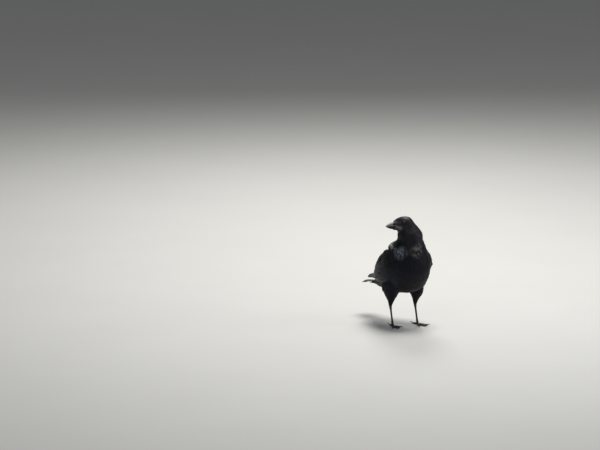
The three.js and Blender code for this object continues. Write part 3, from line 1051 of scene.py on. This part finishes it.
def grow_coat(name, weight, vanes, options, material, seed):
    """Covers the part of the ground where weight is above a half with body feathers."""
    made, sizes = bird(), bpy.context.scene.crow_sizes
    ground = made.ground
    chance = np.random.default_rng(sizes.seed * 100 + seed)
    spacing = ground.fields["width"] * sizes.spacing * options.get("spacing", 1.0)
    roots = scatter(ground, spacing, weight, chance)
    _, found, _, _ = ground.drop(roots)
    width = found["width"] * options.get("wide", 1.0) * chance.uniform(0.88, 1.12, len(roots))
    length = found["width"] * options["long"] * chance.uniform(0.86, 1.12, len(roots))
    turn = chance.normal(0, options.get("stray", 0.09), len(roots))
    lie = flatten(found["lie"] + options.get("lean", 0) * found["to_wing"], found["normal"])
    side = np.cross(found["normal"], lie)
    heading = lie * np.cos(turn)[:, None] + side * np.sin(turn)[:, None]
    path, ups = march(ground, roots, heading, length, options.get("steps", 5))
    length, keep = clear_of_eyes(made, path, length)
    path, ups = path[keep > 0.35], ups[keep > 0.35]
    width, length, heading = (v[keep > 0.35] for v in (width, length, heading))
    roots, short = roots[keep > 0.35], keep[keep > 0.35] < 1
    if short.any():
        again = march(ground, roots[short], heading[short], length[short], path.shape[1] - 1)
        path[short], ups[short] = again
    depth = width / options.get("wide", 1.0) * sizes.coat_depth
    lift = depth * chance.uniform(0.75, 1.12, len(roots)) * options.get("lift", 1.0)
    coat = Coat(seed)
    kinds = chance.integers(0, len(vanes), len(roots))
    for kind, vane in enumerate(vanes):
        pick = kinds == kind
        if pick.any():
            coat.lay(vane, path[pick], ups[pick], width[pick], -0.2 * depth[pick], lift[pick])
    return coat.make(name, material)


def contour_vanes(rows, columns, **options):
    """A few different body feathers."""
    return [Vane(rows, columns, contour_outline, seed=s, **options) for s in (3, 5, 8, 13)]


class CROW_OT_body_feathers(bpy.types.Operator):
    """Covers the head, neck, trunk and thighs with overlapping feathers"""

    bl_idname = "crow.body_feathers"
    bl_label = "Body feathers"

    def execute(self, context):
        soft = plumage("contour_feather", 0.46, 0.02, shine=0.36)
        loose = plumage("belly_feather", 0.56, 0.02, shine=0.22)
        small = plumage("face_feather", 0.42, 0.03, barbs=0.1, ribs=20.0, shine=0.36)
        fine = contour_vanes(5, (0, 0.6, 1), fray=0.12, split=0.7)
        middle = contour_vanes(8, (0, 0.5, 1), fray=0.10, split=0.6)
        broad = contour_vanes(11, (0, 0.4, 0.75, 1), fray=0.05, split=0.35)
        fluffy = contour_vanes(13, (0, 0.35, 0.7, 1), fray=0.2, split=0.95, rake=0.26)
        narrow = [Vane(9, (0, 0.5, 1), hackle_outline, fray=0.1, split=0.6, seed=s)
                  for s in (2, 4, 6)]
        coats = (
            ("head", fine, small, {"long": 4.4, "wide": 0.58, "spacing": 0.78, "stray": 0.12}),
            ("neck", middle, soft, {"long": 3.5, "wide": 0.82, "stray": 0.12, "lift": 1.5}),
            ("throat", narrow, soft,
             {"long": 4.6, "wide": 0.62, "spacing": 0.75, "stray": 0.14, "lift": 2.2}),
            ("back", broad, soft, {"long": 3.2, "stray": 0.05, "lift": 0.85}),
            ("breast", fluffy, loose, {"long": 4.0, "wide": 0.84, "stray": 0.14, "spacing": 0.9}),
            ("thigh", fluffy, loose, {"long": 4.6, "wide": 0.74, "stray": 0.18, "spacing": 0.8}),
            ("flank", fluffy, loose,
             {"long": 5.2, "wide": 0.95, "stray": 0.14, "lift": 1.7, "lean": 0.45, "steps": 8}),
            ("scapular", broad, soft,
             {"long": 4.2, "wide": 1.05, "stray": 0.06, "lift": 1.5, "lean": 0.3, "steps": 8}),
        )
        regions = self.regions()
        for seed, (region, vanes, finish, options) in enumerate(coats, 1):
            grow_coat(f"{region}_feathers", regions[region], vanes, options, finish, seed=seed)
        return {"FINISHED"}

    def regions(self):
        """How far each corner of the ground belongs to each part of the coat, from 0 to 1."""
        made = bird()
        fields, points = made.ground.fields, made.ground.points
        free = 1 - fields["quill"]
        feathered = free > 0.5
        from_head = np.linalg.norm(points - made.head, axis=1)
        front, _, up = made.in_head(points)
        head = (from_head < FACE_REACH) * free
        near_head = from_head < NECK_REACH
        collar = near_head & (head < 0.5) & feathered
        throat = collar & (up < -0.014) & (front > -0.012)
        wing = (fields["wing"] > 0.5) & ~near_head
        thigh = (fields["thigh"] > 0.5) & ~wing
        body = feathered & ~near_head & ~wing & ~thigh
        behind = fields["normal"] @ np.array([0, 0.55, 0.83]) > 0.05
        border = (fields["wing"] > 0.04) & (fields["wing"] < 0.66)
        border &= feathered & (from_head > SHOULDER_START)
        border |= (fields["wing"] > 0.5) & (fields["wing"] < 0.9) & (points[:, 1] < -0.03)
        under = fields["normal"][:, 2] < 0.2
        border &= points[:, 1] < np.where(under, 0.02, 0.045)
        return {
            "head": head,
            "neck": (collar & ~throat) * 1.0,
            "throat": throat * 1.0,
            "back": (body & behind) * 1.0,
            "breast": (body & ~behind) * 1.0,
            "thigh": thigh * 1.0,
            "flank": (border & under) * 1.0,
            "scapular": (border & ~under) * 1.0,
        }


class Wing:
    """Places feather rows over one folded wing."""

    def __init__(self, side):
        made = bird()
        self.ground = made.ground
        sign = 1 if side == "left" else -1
        self.line, self.ahead = made.wing_line[side]
        self.reach = np.r_[0, np.cumsum(np.linalg.norm(np.diff(self.line, axis=0), axis=1))]
        names = [f"wing_{side}", f"primaries_{side}"]
        self.points = np.concatenate([node_arrays(n)[0] for n in names])
        outward = np.array([sign, 0.0, 0.0])
        self.out = flatten(np.broadcast_to(outward, self.ahead.shape), self.ahead)
        self.high = unit(np.cross(self.ahead, self.out) * sign)
        near = ((self.points[:, None] - self.line[None]) ** 2).sum(-1).argmin(1)
        away = self.points - self.line[near]
        rise = (away * self.high[near]).sum(1)
        self.top = self.level(near, rise, np.max)
        self.bottom = self.level(near, rise, np.min)
        self.thick = self.level(near, (away * self.out[near]).sum(1), np.max)

    def level(self, near, rise, pick):
        """The wing's edge above or below its middle line, smoothed along the line."""
        marks = np.arange(len(self.line))
        seen = [k for k in marks if (abs(near - k) < 3).any()]
        edge = [pick(rise[abs(near - k) < 3]) for k in seen]
        edge = np.interp(marks, seen, edge)
        for _ in range(6):
            edge[1:-1] = (edge[:-2] + 2 * edge[1:-1] + edge[2:]) / 4
        return edge

    def read(self, values, marks):
        """Columns of values at the given distances along the middle line."""
        return np.stack([np.interp(marks, self.reach, v) for v in values.T], -1)

    def at(self, share, level):
        """Points on the wing's outer side: share along it, and level from -1 low to 1 high."""
        marks = share * self.reach[-1]
        spot, high, out = (self.read(v, marks) for v in (self.line, self.high, self.out))
        top, bottom = (np.interp(marks, self.reach, v) for v in (self.top, self.bottom))
        spot = spot + high * ((bottom + top) / 2 + (top - bottom) / 2 * level)[:, None]
        found = []
        for point, way in zip(spot, out):
            start = Vector(point + way * 0.06)
            hit = self.ground.tree.ray_cast(start, Vector(-way), 0.12)[0]
            found.append(hit if hit is not None else self.ground.tree.find_nearest(start)[0])
        return np.array(found)

    def track(self, start, end, steps=16):
        """Paths over the wing from (share, level) starts to ends."""
        start, end = np.asarray(start, float), np.asarray(end, float)
        path, ups = [], []
        for t in np.linspace(0, 1, steps + 1):
            mid = start * (1 - t) + end * t
            spots, found, _, _ = self.ground.drop(self.at(mid[:, 0], mid[:, 1]))
            path.append(spots)
            ups.append(found["normal"])
        path, ups = np.stack(path, 1), np.stack(ups, 1)
        for _ in range(4):
            path[:, 1:-1] += 0.5 * ((path[:, :-2] + path[:, 2:]) / 2 - path[:, 1:-1])
            ups[:, 1:-1] = unit(ups[:, :-2] + 2 * ups[:, 1:-1] + ups[:, 2:])
        return path, ups

    def hover(self, start, end, layer, steps=24):
        """A smooth path round the wing's section, from (share, angle) to (share, angle).

        The angle is 0 at the outer side and 90 degrees at the upper edge."""
        t = np.linspace(0, 1, steps + 1)
        marks = (start[0] + (end[0] - start[0]) * t) * self.reach[-1]
        angle = np.radians(start[1] + (end[1] - start[1]) * t)[:, None]
        spot = self.read(self.line, marks)
        high, out = unit(self.read(self.high, marks)), unit(self.read(self.out, marks))
        edges = self.read(np.stack([self.top, self.bottom, self.thick], -1), marks)
        middle = (edges[:, :1] + edges[:, 1:2]) / 2
        half = (edges[:, :1] - edges[:, 1:2]) / 2 * (0.8 + 0.2 * layer) - 0.001
        bulge = edges[:, 2:] * (0.2 + 0.8 * layer)
        spot = spot + high * (middle + half * np.sin(angle)) + out * bulge * np.cos(angle)
        for _ in range(10):
            spot[1:-1] = (spot[:-2] + 2 * spot[1:-1] + spot[2:]) / 4
        tilt = unit(out * np.cos(angle) + high * np.sin(angle) * 0.8)
        return spot[None], tilt[None]

    def rest(self, path, tilt, room):
        """The path, kept at least room above the ground that it passes over."""
        spots, found, _, _ = self.ground.drop(path[0])
        gap = ((path[0] - spots) * found["normal"]).sum(-1)
        near = np.linalg.norm(path[0] - spots, axis=1) < 0.009
        lift = np.where(near, np.maximum(room - gap, 0), 0)
        path = path + (found["normal"] * lift[:, None])[None]
        for _ in range(5):
            path[0, 1:-1] = (path[0, :-2] + 2 * path[0, 1:-1] + path[0, 2:]) / 4
        return path, tilt

    def secondaries(self, coat, vanes):
        """The panel of long feathers below the coverts, each over the one beneath it."""
        for i in range(SECONDARIES):
            t = i / (SECONDARIES - 1)
            start, end = (0.20, -72 + 122 * t), (0.70 - 0.10 * t, -48 + 98 * t)
            path, tilt = self.hover(start, end, 0.9)
            path, tilt = self.rest(path, tilt, (0.7 + 0.12 * i) * MM)
            coat.lay(vanes[i % len(vanes)], path, tilt, (9.0 + 2.5 * t) * MM, 0.0, 0.0003)

    def primaries(self, coat, vanes):
        """Long feathers whose tips are stepped back from the wing's tip."""
        for i in range(PRIMARIES):
            t = i / (PRIMARIES - 1)
            start = (0.42 - 0.03 * t, -30 + 90 * t)
            end = (1.0 - 0.33 * t**0.85, -8 + 75 * t)
            path, tilt = self.hover(start, end, 0.1 + 0.9 * t)
            coat.lay(vanes[i % len(vanes)], path, tilt, (7.0 + 1.8 * t) * MM, 0.0, 0.0)

    def tertials(self, coat, vanes):
        """Broad innermost feathers that roof the folded wing and lean on the back."""
        for i in range(TERTIALS):
            t = i / (TERTIALS - 1)
            start, end = (0.22 - 0.06 * t, 45 + 75 * t), (0.66 - 0.17 * t, 48 + 78 * t)
            path, tilt = self.hover(start, end, 1.0)
            path, tilt = self.rest(path, tilt, (1.6 + 0.3 * i) * MM)
            coat.lay(vanes[i % len(vanes)], path, tilt, 12.5 * MM, 0.0, 0.0004)

    def row(self, coat, vanes, count, start, end, width, low, high):
        """One row of feathers from the low edge to the high one, each over the next."""
        t = np.linspace(0, 1, count)
        begin = np.stack([np.interp(t, [0, 1], start[0]), np.interp(t, [0, 1], start[1])], -1)
        finish = np.stack([np.interp(t, [0, 1], end[0]), np.interp(t, [0, 1], end[1])], -1)
        begin[:, 0] += coat.chance.uniform(-0.008, 0.008, count)
        finish[:, 0] += coat.chance.uniform(-0.01, 0.01, count)
        path, ups = self.track(begin, finish)
        layer = t * 0.0009
        wide = np.interp(t, [0, 1], width) * MM
        for i in range(count):
            vane = vanes[i % len(vanes)]
            rise = low * MM + layer[i], high * MM + layer[i]
            coat.lay(vane, path[i:i + 1], ups[i:i + 1], wide[i], *rise)


class CROW_OT_wings(bpy.types.Operator):
    """Lays the coverts, secondaries and primaries of the folded wings"""

    bl_idname = "crow.wings"
    bl_label = "Wings"

    def execute(self, context):
        made = bird()
        glossy = plumage("flight_feather", 0.36, 0.01, barbs=0.4, ribs=600.0, shine=0.26)
        covert = plumage("covert_feather", 0.42, 0.01, shine=0.22)
        columns = (0, 0.06, 0.35, 0.7, 1)
        for side in SIDES:
            wing = Wing(side)
            webs = (0.6, 1.0) if side == "left" else (1.0, 0.6)
            long_vanes = [Vane(34, columns, flight_outline, rake=0.05, fray=0.006, split=0.06,
                               seed=s, webs=webs, ridge=0.05, camber=0.10) for s in (1, 2, 3)]
            short_vanes = [Vane(16, columns, contour_outline, rake=0.12, fray=0.04, split=0.25,
                                seed=s, ridge=0.045, camber=0.12) for s in (4, 5, 6)]
            tertials = [Vane(24, columns, contour_outline, rake=0.08, fray=0.01, split=0.1,
                             seed=s, ridge=0.04, camber=0.12) for s in (7, 8, 9)]
            coat = Coat(21)
            wing.primaries(coat, long_vanes)
            coat.make(f"primary_feathers_{side}", glossy,
                      [f"primaries_{side}"])
            coat = Coat(22)
            wing.secondaries(coat, long_vanes)
            wing.tertials(coat, tertials)
            wing.row(coat, short_vanes, *COVERT_ROWS["lower"])
            wing.row(coat, short_vanes, *COVERT_ROWS["greater"])
            coat.make(f"secondary_feathers_{side}", glossy)
            coat = Coat(23)
            wing.row(coat, short_vanes, *COVERT_ROWS["median"])
            coat.make(f"median_coverts_{side}", covert)
        ground = made.ground
        share, _ = made.nearest_wing(ground.points)
        small = (ground.fields["wing"] > 0.5) & (share < 0.17)
        vanes = contour_vanes(9, (0, 0.5, 1), fray=0.05, split=0.3)
        options = {"long": 2.7, "lift": 1.1, "wide": 0.9, "spacing": 0.9}
        grow_coat("lesser_coverts", small * 1.0, vanes, options, covert, seed=24)
        backward = ground.fields["normal"] @ unit(np.array([0.0, 0.87, -0.5])) > 0.5
        rest = (ground.fields["wing"] > 0.4) & (share >= 0.15) & ~backward
        options = {"long": 3.2, "lift": 0.2}
        grow_coat("wing_lining", rest * 1.0, vanes, options, covert, seed=25)
        return {"FINISHED"}


class CROW_OT_tail(bpy.types.Operator):
    """Stacks twelve tail feathers with coverts over and under their roots"""

    bl_idname = "crow.tail"
    bl_label = "Tail"

    def execute(self, context):
        glossy = plumage("tail_feather", 0.36, 0.01, barbs=0.4, ribs=700.0, shine=0.34)
        points, _ = node_arrays("tail")
        start = np.array([0.0, points[:, 1].min() - 0.004, 0.0])
        reach = points[:, 1].max() - start[1]

        def across(y):
            """Middle, half-width and top of the tail at y."""
            near = points[abs(points[:, 1] - y) < 0.016]
            middle = (near[:, 0].max() + near[:, 0].min()) / 2
            return middle, np.ptp(near[:, 0]) / 2, near[:, 2].max()

        coat = Coat(31)
        columns = (0, 0.05, 0.35, 0.7, 1)
        for pair in range(TAIL_PAIRS):
            for sign in (-1, 1):
                outward = sign * (0.10 + pair * 0.15)
                end = 1.0 - 0.012 * pair**1.4
                marks = np.linspace(0, end, 19)
                path = []
                for t in marks:
                    middle, half, top = across(start[1] + reach * t)
                    room = max(half - 0.0085 * ramp(t, 0, 0.3), 0)
                    level = top - 0.0008 - 0.00055 * pair - 0.0003 * (sign < 0)
                    drop = 0.0005 * (pair / (TAIL_PAIRS - 1)) ** 2
                    path.append((middle + room * outward / 0.85, start[1] + reach * t,
                                 level - drop))
                path = np.array(path)[None]
                for _ in range(6):
                    path[:, 1:-1] = (path[:, :-2] + 2 * path[:, 1:-1] + path[:, 2:]) / 4
                ups = np.broadcast_to([0.0, 0.0, 1.0], path.shape)
                inner = 0.62 if pair else 0.95
                webs = (inner, 1.0) if sign > 0 else (1.0, inner)
                vane = Vane(40, columns, flight_outline, rake=0.05, fray=0.006, split=0.05,
                            seed=40 + pair, webs=webs, ridge=0.04, camber=0.07)
                coat.lay(vane, path, ups, 0.0135, 0.0, 0.0)
        coat.make("tail_feathers", glossy, ["tail"])
        self.coverts()
        return {"FINISHED"}

    def coverts(self):
        """Feathers over and under the roots of the tail."""
        ground = bird().ground
        soft = plumage("tail_covert", 0.42, 0.03)
        vanes = contour_vanes(14, (0, 0.35, 0.7, 1), fray=0.06, split=0.35)
        low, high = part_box("tail")
        coat = Coat(32)
        for number, (face, ahead, length, wide) in enumerate(TAIL_COVERTS):
            count = 7 if number % 2 else 8
            for x in np.linspace(-0.019, 0.019, count):
                spot = Vector((x + coat.chance.uniform(-0.001, 0.001),
                               low.y + ahead * MM + coat.chance.uniform(-0.003, 0.003),
                               high.z + 0.08 * face))
                hit = ground.tree.ray_cast(spot, Vector((0, 0, -face)), 0.2)[0]
                if hit is None:
                    continue
                long = np.array([length * coat.chance.uniform(0.88, 1.08) * MM])
                heading = np.array([[x * 4, 1.0, -0.2]])
                path, ups = march(ground, np.array([hit]), unit(heading), long, 10, 0.3)
                lift = (1.2 + 0.4 * (number // 2)) * MM
                coat.lay(vanes[coat.chance.integers(4)], path, ups, wide * MM, 0.0003, lift)
        coat.make("tail_coverts", soft)


def fine_solid(name, cell, passes):
    """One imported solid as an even, softened mesh, with its normals."""
    points, quads = even_mesh(*node_arrays(name), cell)
    surface = Surface(points, quads)
    surface.points = spread(points, surface.edges, passes)
    surface.refresh()
    return surface


def stored(mesh, name, values):
    """Keeps a number at each corner of a mesh."""
    mesh.attributes.new(name, "FLOAT", "POINT").data.foreach_set(
        "value", np.asarray(values, np.float32))


class CROW_OT_bill(bpy.types.Operator):
    """Makes the two halves of the bill and the bristles over the nostrils"""

    bl_idname = "crow.bill"
    bl_label = "Bill"

    def execute(self, context):
        # The upper bill's pale greys are painted reflection of the bright sky on a black bill; the
        # lower bill keeps the bill's own black.
        upper = horn_material("upper_bill", (0.17, 0.174, 0.18), (0.38, 0.385, 0.39), 0.30)
        lower = horn_material("lower_bill", (0.010, 0.0105, 0.012), (0.026, 0.027, 0.029), 0.40)
        for name, finish in (("bill_upper", upper), ("bill_lower", lower)):
            surface = fine_solid(name, BILL_CELL, 5)
            if name == "bill_lower":
                upward = ramp(surface.fields["normal"][:, 2], 0.3, 0.8)
                surface.points[:, 2] += upward * 0.0005
            mesh = new_mesh(name, surface.points, surface.quads)
            if name == "bill_upper":
                # Marks the faces turned up for a painted highlight, partly real wear along the
                # culmen.
                stored(mesh, "wear_and_highlight", ramp(surface.fields["normal"][:, 2], 0.0, 0.65))
            place(name + "_horn", mesh, finish, [name])
            if name == "bill_upper":
                self.bristles(bird())
        return {"FINISHED"}

    def bristles(self, made):
        """Stiff forward-pointing bristles that cover the base of the upper bill."""
        black = plumage("nasal_bristle", 0.5, 0.04, barbs=0.0)
        chance = np.random.default_rng(51)
        surface = Surface(*merged_solids(["head", "bill_upper", "bill_lower"], 0.001, 0.0002))
        surface.points = spread(surface.points, surface.edges, 3)
        edge = (made.bill_tip - made.head) @ made.front - BARE_BILL
        front, _, up = made.in_head(surface.points)
        inward = 0.0009 * (1 - ramp(front, edge - 0.001, edge + 0.004))
        surface.points = surface.points - surface.fields["normal"] * inward[:, None]
        surface.refresh()
        tuft = (front < edge - 0.0015) & (front > edge - 0.009) & (abs(up + 0.0045) < 0.0034)
        chin = (front < edge - 0.0005) & (front > edge - 0.005) & (abs(up + 0.0185) < 0.006)
        brow = (front < edge - 0.0005) & (front > edge - 0.004) & (abs(up - 0.0055) < 0.004)
        spots = chance.choice(np.flatnonzero(tuft | chin | brow), BRISTLES)
        roots, normals = surface.points[spots], surface.fields["normal"][spots]
        height = (up[spots] + 0.0045) / 0.004
        length = (0.0018 + 0.0048 * np.exp(-(height**2))) * chance.uniform(0.7, 1.15, len(spots))
        heading = made.front + chance.normal(0, 0.10, (len(spots), 3)) - 0.1 * made.up
        ends, found, _, _ = surface.drop(roots + unit(heading) * (length + 0.003)[:, None])
        t = np.linspace(0, 1, 7)[None, :, None]
        path = roots[:, None] * (1 - t) + ends[:, None] * t
        path = path + normals[:, None] * np.sin(np.pi * t) * 0.0007
        ups = unit(normals[:, None] * (1 - t) + found["normal"][:, None] * t)
        vane = Vane(6, (0, 1), bristle_outline, rake=0.05, fray=0.05, split=0.1, camber=0.3)
        coat = Coat(52)
        coat.lay(vane, path, ups, chance.uniform(0.0003, 0.0005, len(roots)), 0.0006, 0.0004)
        coat.make("nostril_bristles", black)


class CROW_OT_eyes(bpy.types.Operator):
    """Sets the eyes and the lids round them"""

    bl_idname = "crow.eyes"
    bl_label = "Eyes and lids"

    def execute(self, context):
        made = bird()
        wet, lids = eye_material(), skin_material("lid_skin", (0.008, 0.008, 0.009))
        for side in SIDES:
            out = made.outward(side)
            self.ball(made, side, out, wet)
            self.lid(made, side, out, lids)
        return {"FINISHED"}

    def ring(self, made, out, turn, polar):
        """Directions from the eye's middle: polar is the angle from the way it looks."""
        turn, polar = np.broadcast_arrays(turn, polar)
        flat = np.cos(turn)[..., None] * made.front + np.sin(turn)[..., None] * made.up
        return np.cos(polar)[..., None] * out + np.sin(polar)[..., None] * flat

    def ball(self, made, side, out, wet):
        """The eyeball, a little domed over the iris."""
        turns = np.linspace(0, 2 * np.pi, 65)[:-1]
        polar = np.radians(np.linspace(1.5, 178.5, 60))
        way = self.ring(made, out, turns[None], polar[:, None])
        dome = 1 + 0.03 * np.exp(-((polar / 0.55) ** 2))
        points = made.eyes[side] + way * (made.eye_radius * 0.985 * dome)[:, None, None]
        mesh = grid_mesh(f"eyeball_{side}", points, True)
        stored(mesh, "out", np.repeat(np.sin(polar) / math.sin(0.8), len(turns)))
        place(f"eyeball_{side}", mesh, wet, [f"eye_{side}"])

    def lid(self, made, side, out, finish):
        """A rolled rim of bare skin that runs out under the face feathers."""
        turns = np.linspace(0, 2 * np.pi, 97)[:-1]
        edge = np.radians(41 + 3.0 * np.cos(2 * turns) + 1.5 * np.cos(turns))
        points = []
        for add, far in LID_ROWS:
            way = self.ring(made, out, turns, edge + math.radians(add))
            ripple = 1 + 0.006 * np.sin(turns * 19 + add) * ramp(add, 2, 7)
            points.append(made.eyes[side] + way * (made.eye_radius * far * ripple)[:, None])
        for add, sink in LID_SKIRT:
            way = self.ring(made, out, turns, edge + math.radians(add))
            spots, found, _, _ = made.skin.drop(made.eyes[side] + way * made.eye_radius * 1.1)
            points.append(spots - found["normal"] * sink)
        mesh = grid_mesh(f"eyelid_{side}", np.array(points), False)
        place(f"eyelid_{side}", mesh, finish)


def grid_mesh(name, points, ends):
    """A tube of rings, given as rows of points, closed by fans if ends is true."""
    rows, around = points.shape[:2]
    index = np.arange(rows * around).reshape(rows, around)
    after = np.roll(index, -1, axis=1)
    quads = np.stack([index[:-1], after[:-1], after[1:], index[1:]], -1).reshape(-1, 4)
    faces = [tuple(q) for q in quads.tolist()]
    if ends:
        faces += [tuple(index[0][::-1].tolist()), tuple(index[-1].tolist())]
    mesh = bpy.data.meshes.new(name)
    mesh.from_pydata(points.reshape(-1, 3).tolist(), [], faces)
    mesh.polygons.foreach_set("use_smooth", np.ones(len(mesh.polygons), bool))
    mesh.update()
    return mesh


def plates(distance, pitch):
    """Overlapping plates along a limb: (height from 0 to 1, how deep in a gap from 0 to 1)."""
    part = (distance / pitch) % 1.0
    height = np.minimum(part / 0.75, 1) ** 0.6 * (1 - ramp(part, 0.86, 1.0))
    gap = np.maximum(ramp(part, 0.84, 0.96), 1 - ramp(part, 0.0, 0.12))
    return height, gap


class CROW_OT_legs(bpy.types.Operator):
    """Makes the scaled shanks and toes and the claws"""

    bl_idname = "crow.legs"
    bl_label = "Legs and feet"

    def execute(self, context):
        scales = leg_material()
        horn = horn_material("claw_horn", (0.010, 0.010, 0.011), (0.030, 0.030, 0.032), 0.35)
        for side in SIDES:
            self.foot(side, scales)
            for toe in TOES:
                claw = f"claw_{toe}_{side}"
                surface = fine_solid(claw, CLAW_CELL, 3)
                surface.points[:, 2] = np.maximum(surface.points[:, 2], 0.00002)
                place(claw + "_horn", new_mesh(claw, surface.points, surface.quads), horn,
                      [claw])
        return {"FINISHED"}

    def foot(self, side, scales):
        """One scaled mesh over the shank and its four toes, reaching up into the feathers."""
        names = [f"shank_{side}", *(f"toe_{toe}_{side}" for toe in TOES)]
        surface = Surface(*merged_solids(names, FOOT_CELL, 0.0002))
        surface.points = spread(surface.points, surface.edges, 4)
        surface.refresh()
        points, normals = surface.points, surface.fields["normal"]
        nearest, _ = nearest_solid(names, points)
        rise, gap = self.shank(points, normals)
        for number, name in enumerate(names[1:], 1):
            mask = spread((nearest == number).astype(float), surface.edges, 5)
            more = self.toe(name, points, normals)
            rise = rise * (1 - mask) + more[0] * mask
            gap = gap * (1 - mask) + more[1] * mask
        top = points[:, 2].max()
        points += normals * rise[:, None]
        points[:, 2] += ramp(points[:, 2], top - 0.006, top) * 0.011
        points[:, 2] = np.maximum(points[:, 2], 0.00002)
        mesh = new_mesh(f"foot_{side}", points, surface.quads)
        stored(mesh, "gap", np.clip(gap, 0, 1))
        place(f"foot_{side}", mesh, scales, names)

    def shank(self, points, normals):
        """Broad plates down the front and a fine seam behind."""
        height, gap = plates(-points[:, 2], SHANK_PLATE)
        ahead = ramp(-normals[:, 1] + 0.25 * abs(normals[:, 0]), -0.25, 0.35)
        small, small_gap = plates(-points[:, 2] + 0.001 * normals[:, 0], SHANK_BACK_PLATE)
        rise = height * ahead * 0.00042 + small * (1 - ahead) * 0.00018 - 0.0003
        return rise, gap * ahead + small_gap * (1 - ahead) * 0.6

    def toe(self, name, points, normals):
        """Plates over the top and soft pads below."""
        corners, _ = node_arrays(name)
        middle = corners.mean(0)
        along = (points - middle)[:, :2] @ np.linalg.svd(
            (corners - middle)[:, :2], full_matrices=False)[2][0]
        height, gap = plates(along, TOE_PLATE)
        top = ramp(normals[:, 2], -0.15, 0.45)
        pads = 0.5 + 0.5 * np.cos(along / TOE_PAD * 2 * np.pi)
        beneath = ramp(-normals[:, 2], -0.1, 0.5)
        rise = height * top * 0.00034 - 0.0003 + (pads - 0.4) * (1 - top) * 0.0005
        return np.where(beneath > 0.8, -0.0002, rise), gap * top


class CROW_OT_stage(bpy.types.Operator):
    """Sets the floor, the lights and the camera"""

    bl_idname = "crow.stage"
    bl_label = "Stage"

    def execute(self, context):
        settings = context.scene.crow_stage
        stand = np.mean([middle_of(f"shank_{s}") for s in SIDES], axis=0) * [1, 1, 0]
        self.floor(stand)
        a, e = math.radians(settings.azimuth), math.radians(settings.elevation)
        back = np.array([math.sin(a) * math.cos(e), -math.cos(a) * math.cos(e), math.sin(e)])
        right = np.array([math.cos(a), math.sin(a), 0.0])
        rise = np.cross(back, right)
        target = np.array(FRAMED_SPOT) - right * settings.across + rise * settings.down
        camera = bpy.data.cameras.new("camera")
        camera.sensor_width = SENSOR
        camera.lens = SENSOR * settings.distance / settings.picture
        camera.clip_start, camera.clip_end = 0.1, 200.0
        holder = bpy.data.objects.new("camera", camera)
        holder.location = target + back * settings.distance
        holder.rotation_euler = Vector(-back).to_track_quat("-Z", "Y").to_euler()
        context.scene.collection.objects.link(holder)
        context.scene.camera = holder
        middle = Vector((0, -0.02, 0.17))
        for name, away, size, power, colour in LAMPS:
            self.lamp(context, name, middle + Vector(away), middle, size, power, colour)
        world = bpy.data.worlds.new("studio")
        world.use_nodes = True
        background = world.node_tree.nodes["Background"]
        background.inputs["Color"].default_value = SKY
        background.inputs["Strength"].default_value = SKY_LIGHT
        context.scene.world = world
        context.scene.view_settings.view_transform = "Standard"
        return {"FINISHED"}

    def floor(self, stand):
        """A wide pale floor."""
        angles = np.linspace(0, 2 * np.pi, 97)[:-1]
        reach = np.array([0.00001, 0.5, 2, 8, 30, 90])
        ring = np.stack([np.cos(angles), np.sin(angles), 0 * angles], -1)
        mesh = grid_mesh("floor", stand + ring[None] * reach[:, None, None], False)
        mesh.flip_normals()
        floor = bpy.data.objects.new("floor", mesh)
        mesh.materials.append(floor_material())
        bpy.context.scene.collection.objects.link(floor)

    def lamp(self, context, name, spot, target, size, power, colour):
        """One soft square light aimed at the bird."""
        light = bpy.data.lights.new(name, "AREA")
        light.size, light.energy, light.color = size, power, colour
        holder = bpy.data.objects.new(name, light)
        holder.location = spot
        holder.rotation_euler = (target - spot).to_track_quat("-Z", "Y").to_euler()
        context.scene.collection.objects.link(holder)


class CROW_PT_panel(bpy.types.Panel):
    """Lists the steps that build the bird"""

    bl_idname = "CROW_PT_panel"
    bl_label = "Standing Crow"
    bl_space_type = "VIEW_3D"
    bl_region_type = "UI"
    bl_category = "Crow"

    def draw(self, context):
        for step in STEPS:
            self.layout.operator(step.bl_idname)
        for group in ("crow_sizes", "crow_colours", "crow_stage"):
            settings = getattr(context.scene, group)
            for name in settings.bl_rna.properties.keys():
                if name not in ("rna_type", "name"):
                    self.layout.prop(settings, name)


STEPS = (
    CROW_OT_stage,
    CROW_OT_skin,
    CROW_OT_body_feathers,
    CROW_OT_wings,
    CROW_OT_tail,
    CROW_OT_bill,
    CROW_OT_eyes,
    CROW_OT_legs,
)
GROUPS = {"crow_sizes": CrowSizes, "crow_colours": CrowColours, "crow_stage": StageSettings}


def register():
    """Adds the settings, steps and panel to Blender."""
    for kind in (*GROUPS.values(), *STEPS, CROW_PT_panel):
        bpy.utils.register_class(kind)
    for name, kind in GROUPS.items():
        setattr(bpy.types.Scene, name, PointerProperty(type=kind))


def unregister():
    """Takes them away again."""
    for name in GROUPS:
        delattr(bpy.types.Scene, name)
    for kind in (CROW_PT_panel, *reversed(STEPS), *reversed(GROUPS.values())):
        bpy.utils.unregister_class(kind)


def main():
    """Builds the whole bird."""
    register()
    for step in STEPS:
        family, name = step.bl_idname.split(".")
        getattr(getattr(bpy.ops, family), name)()


if __name__ == "__main__":
    main()
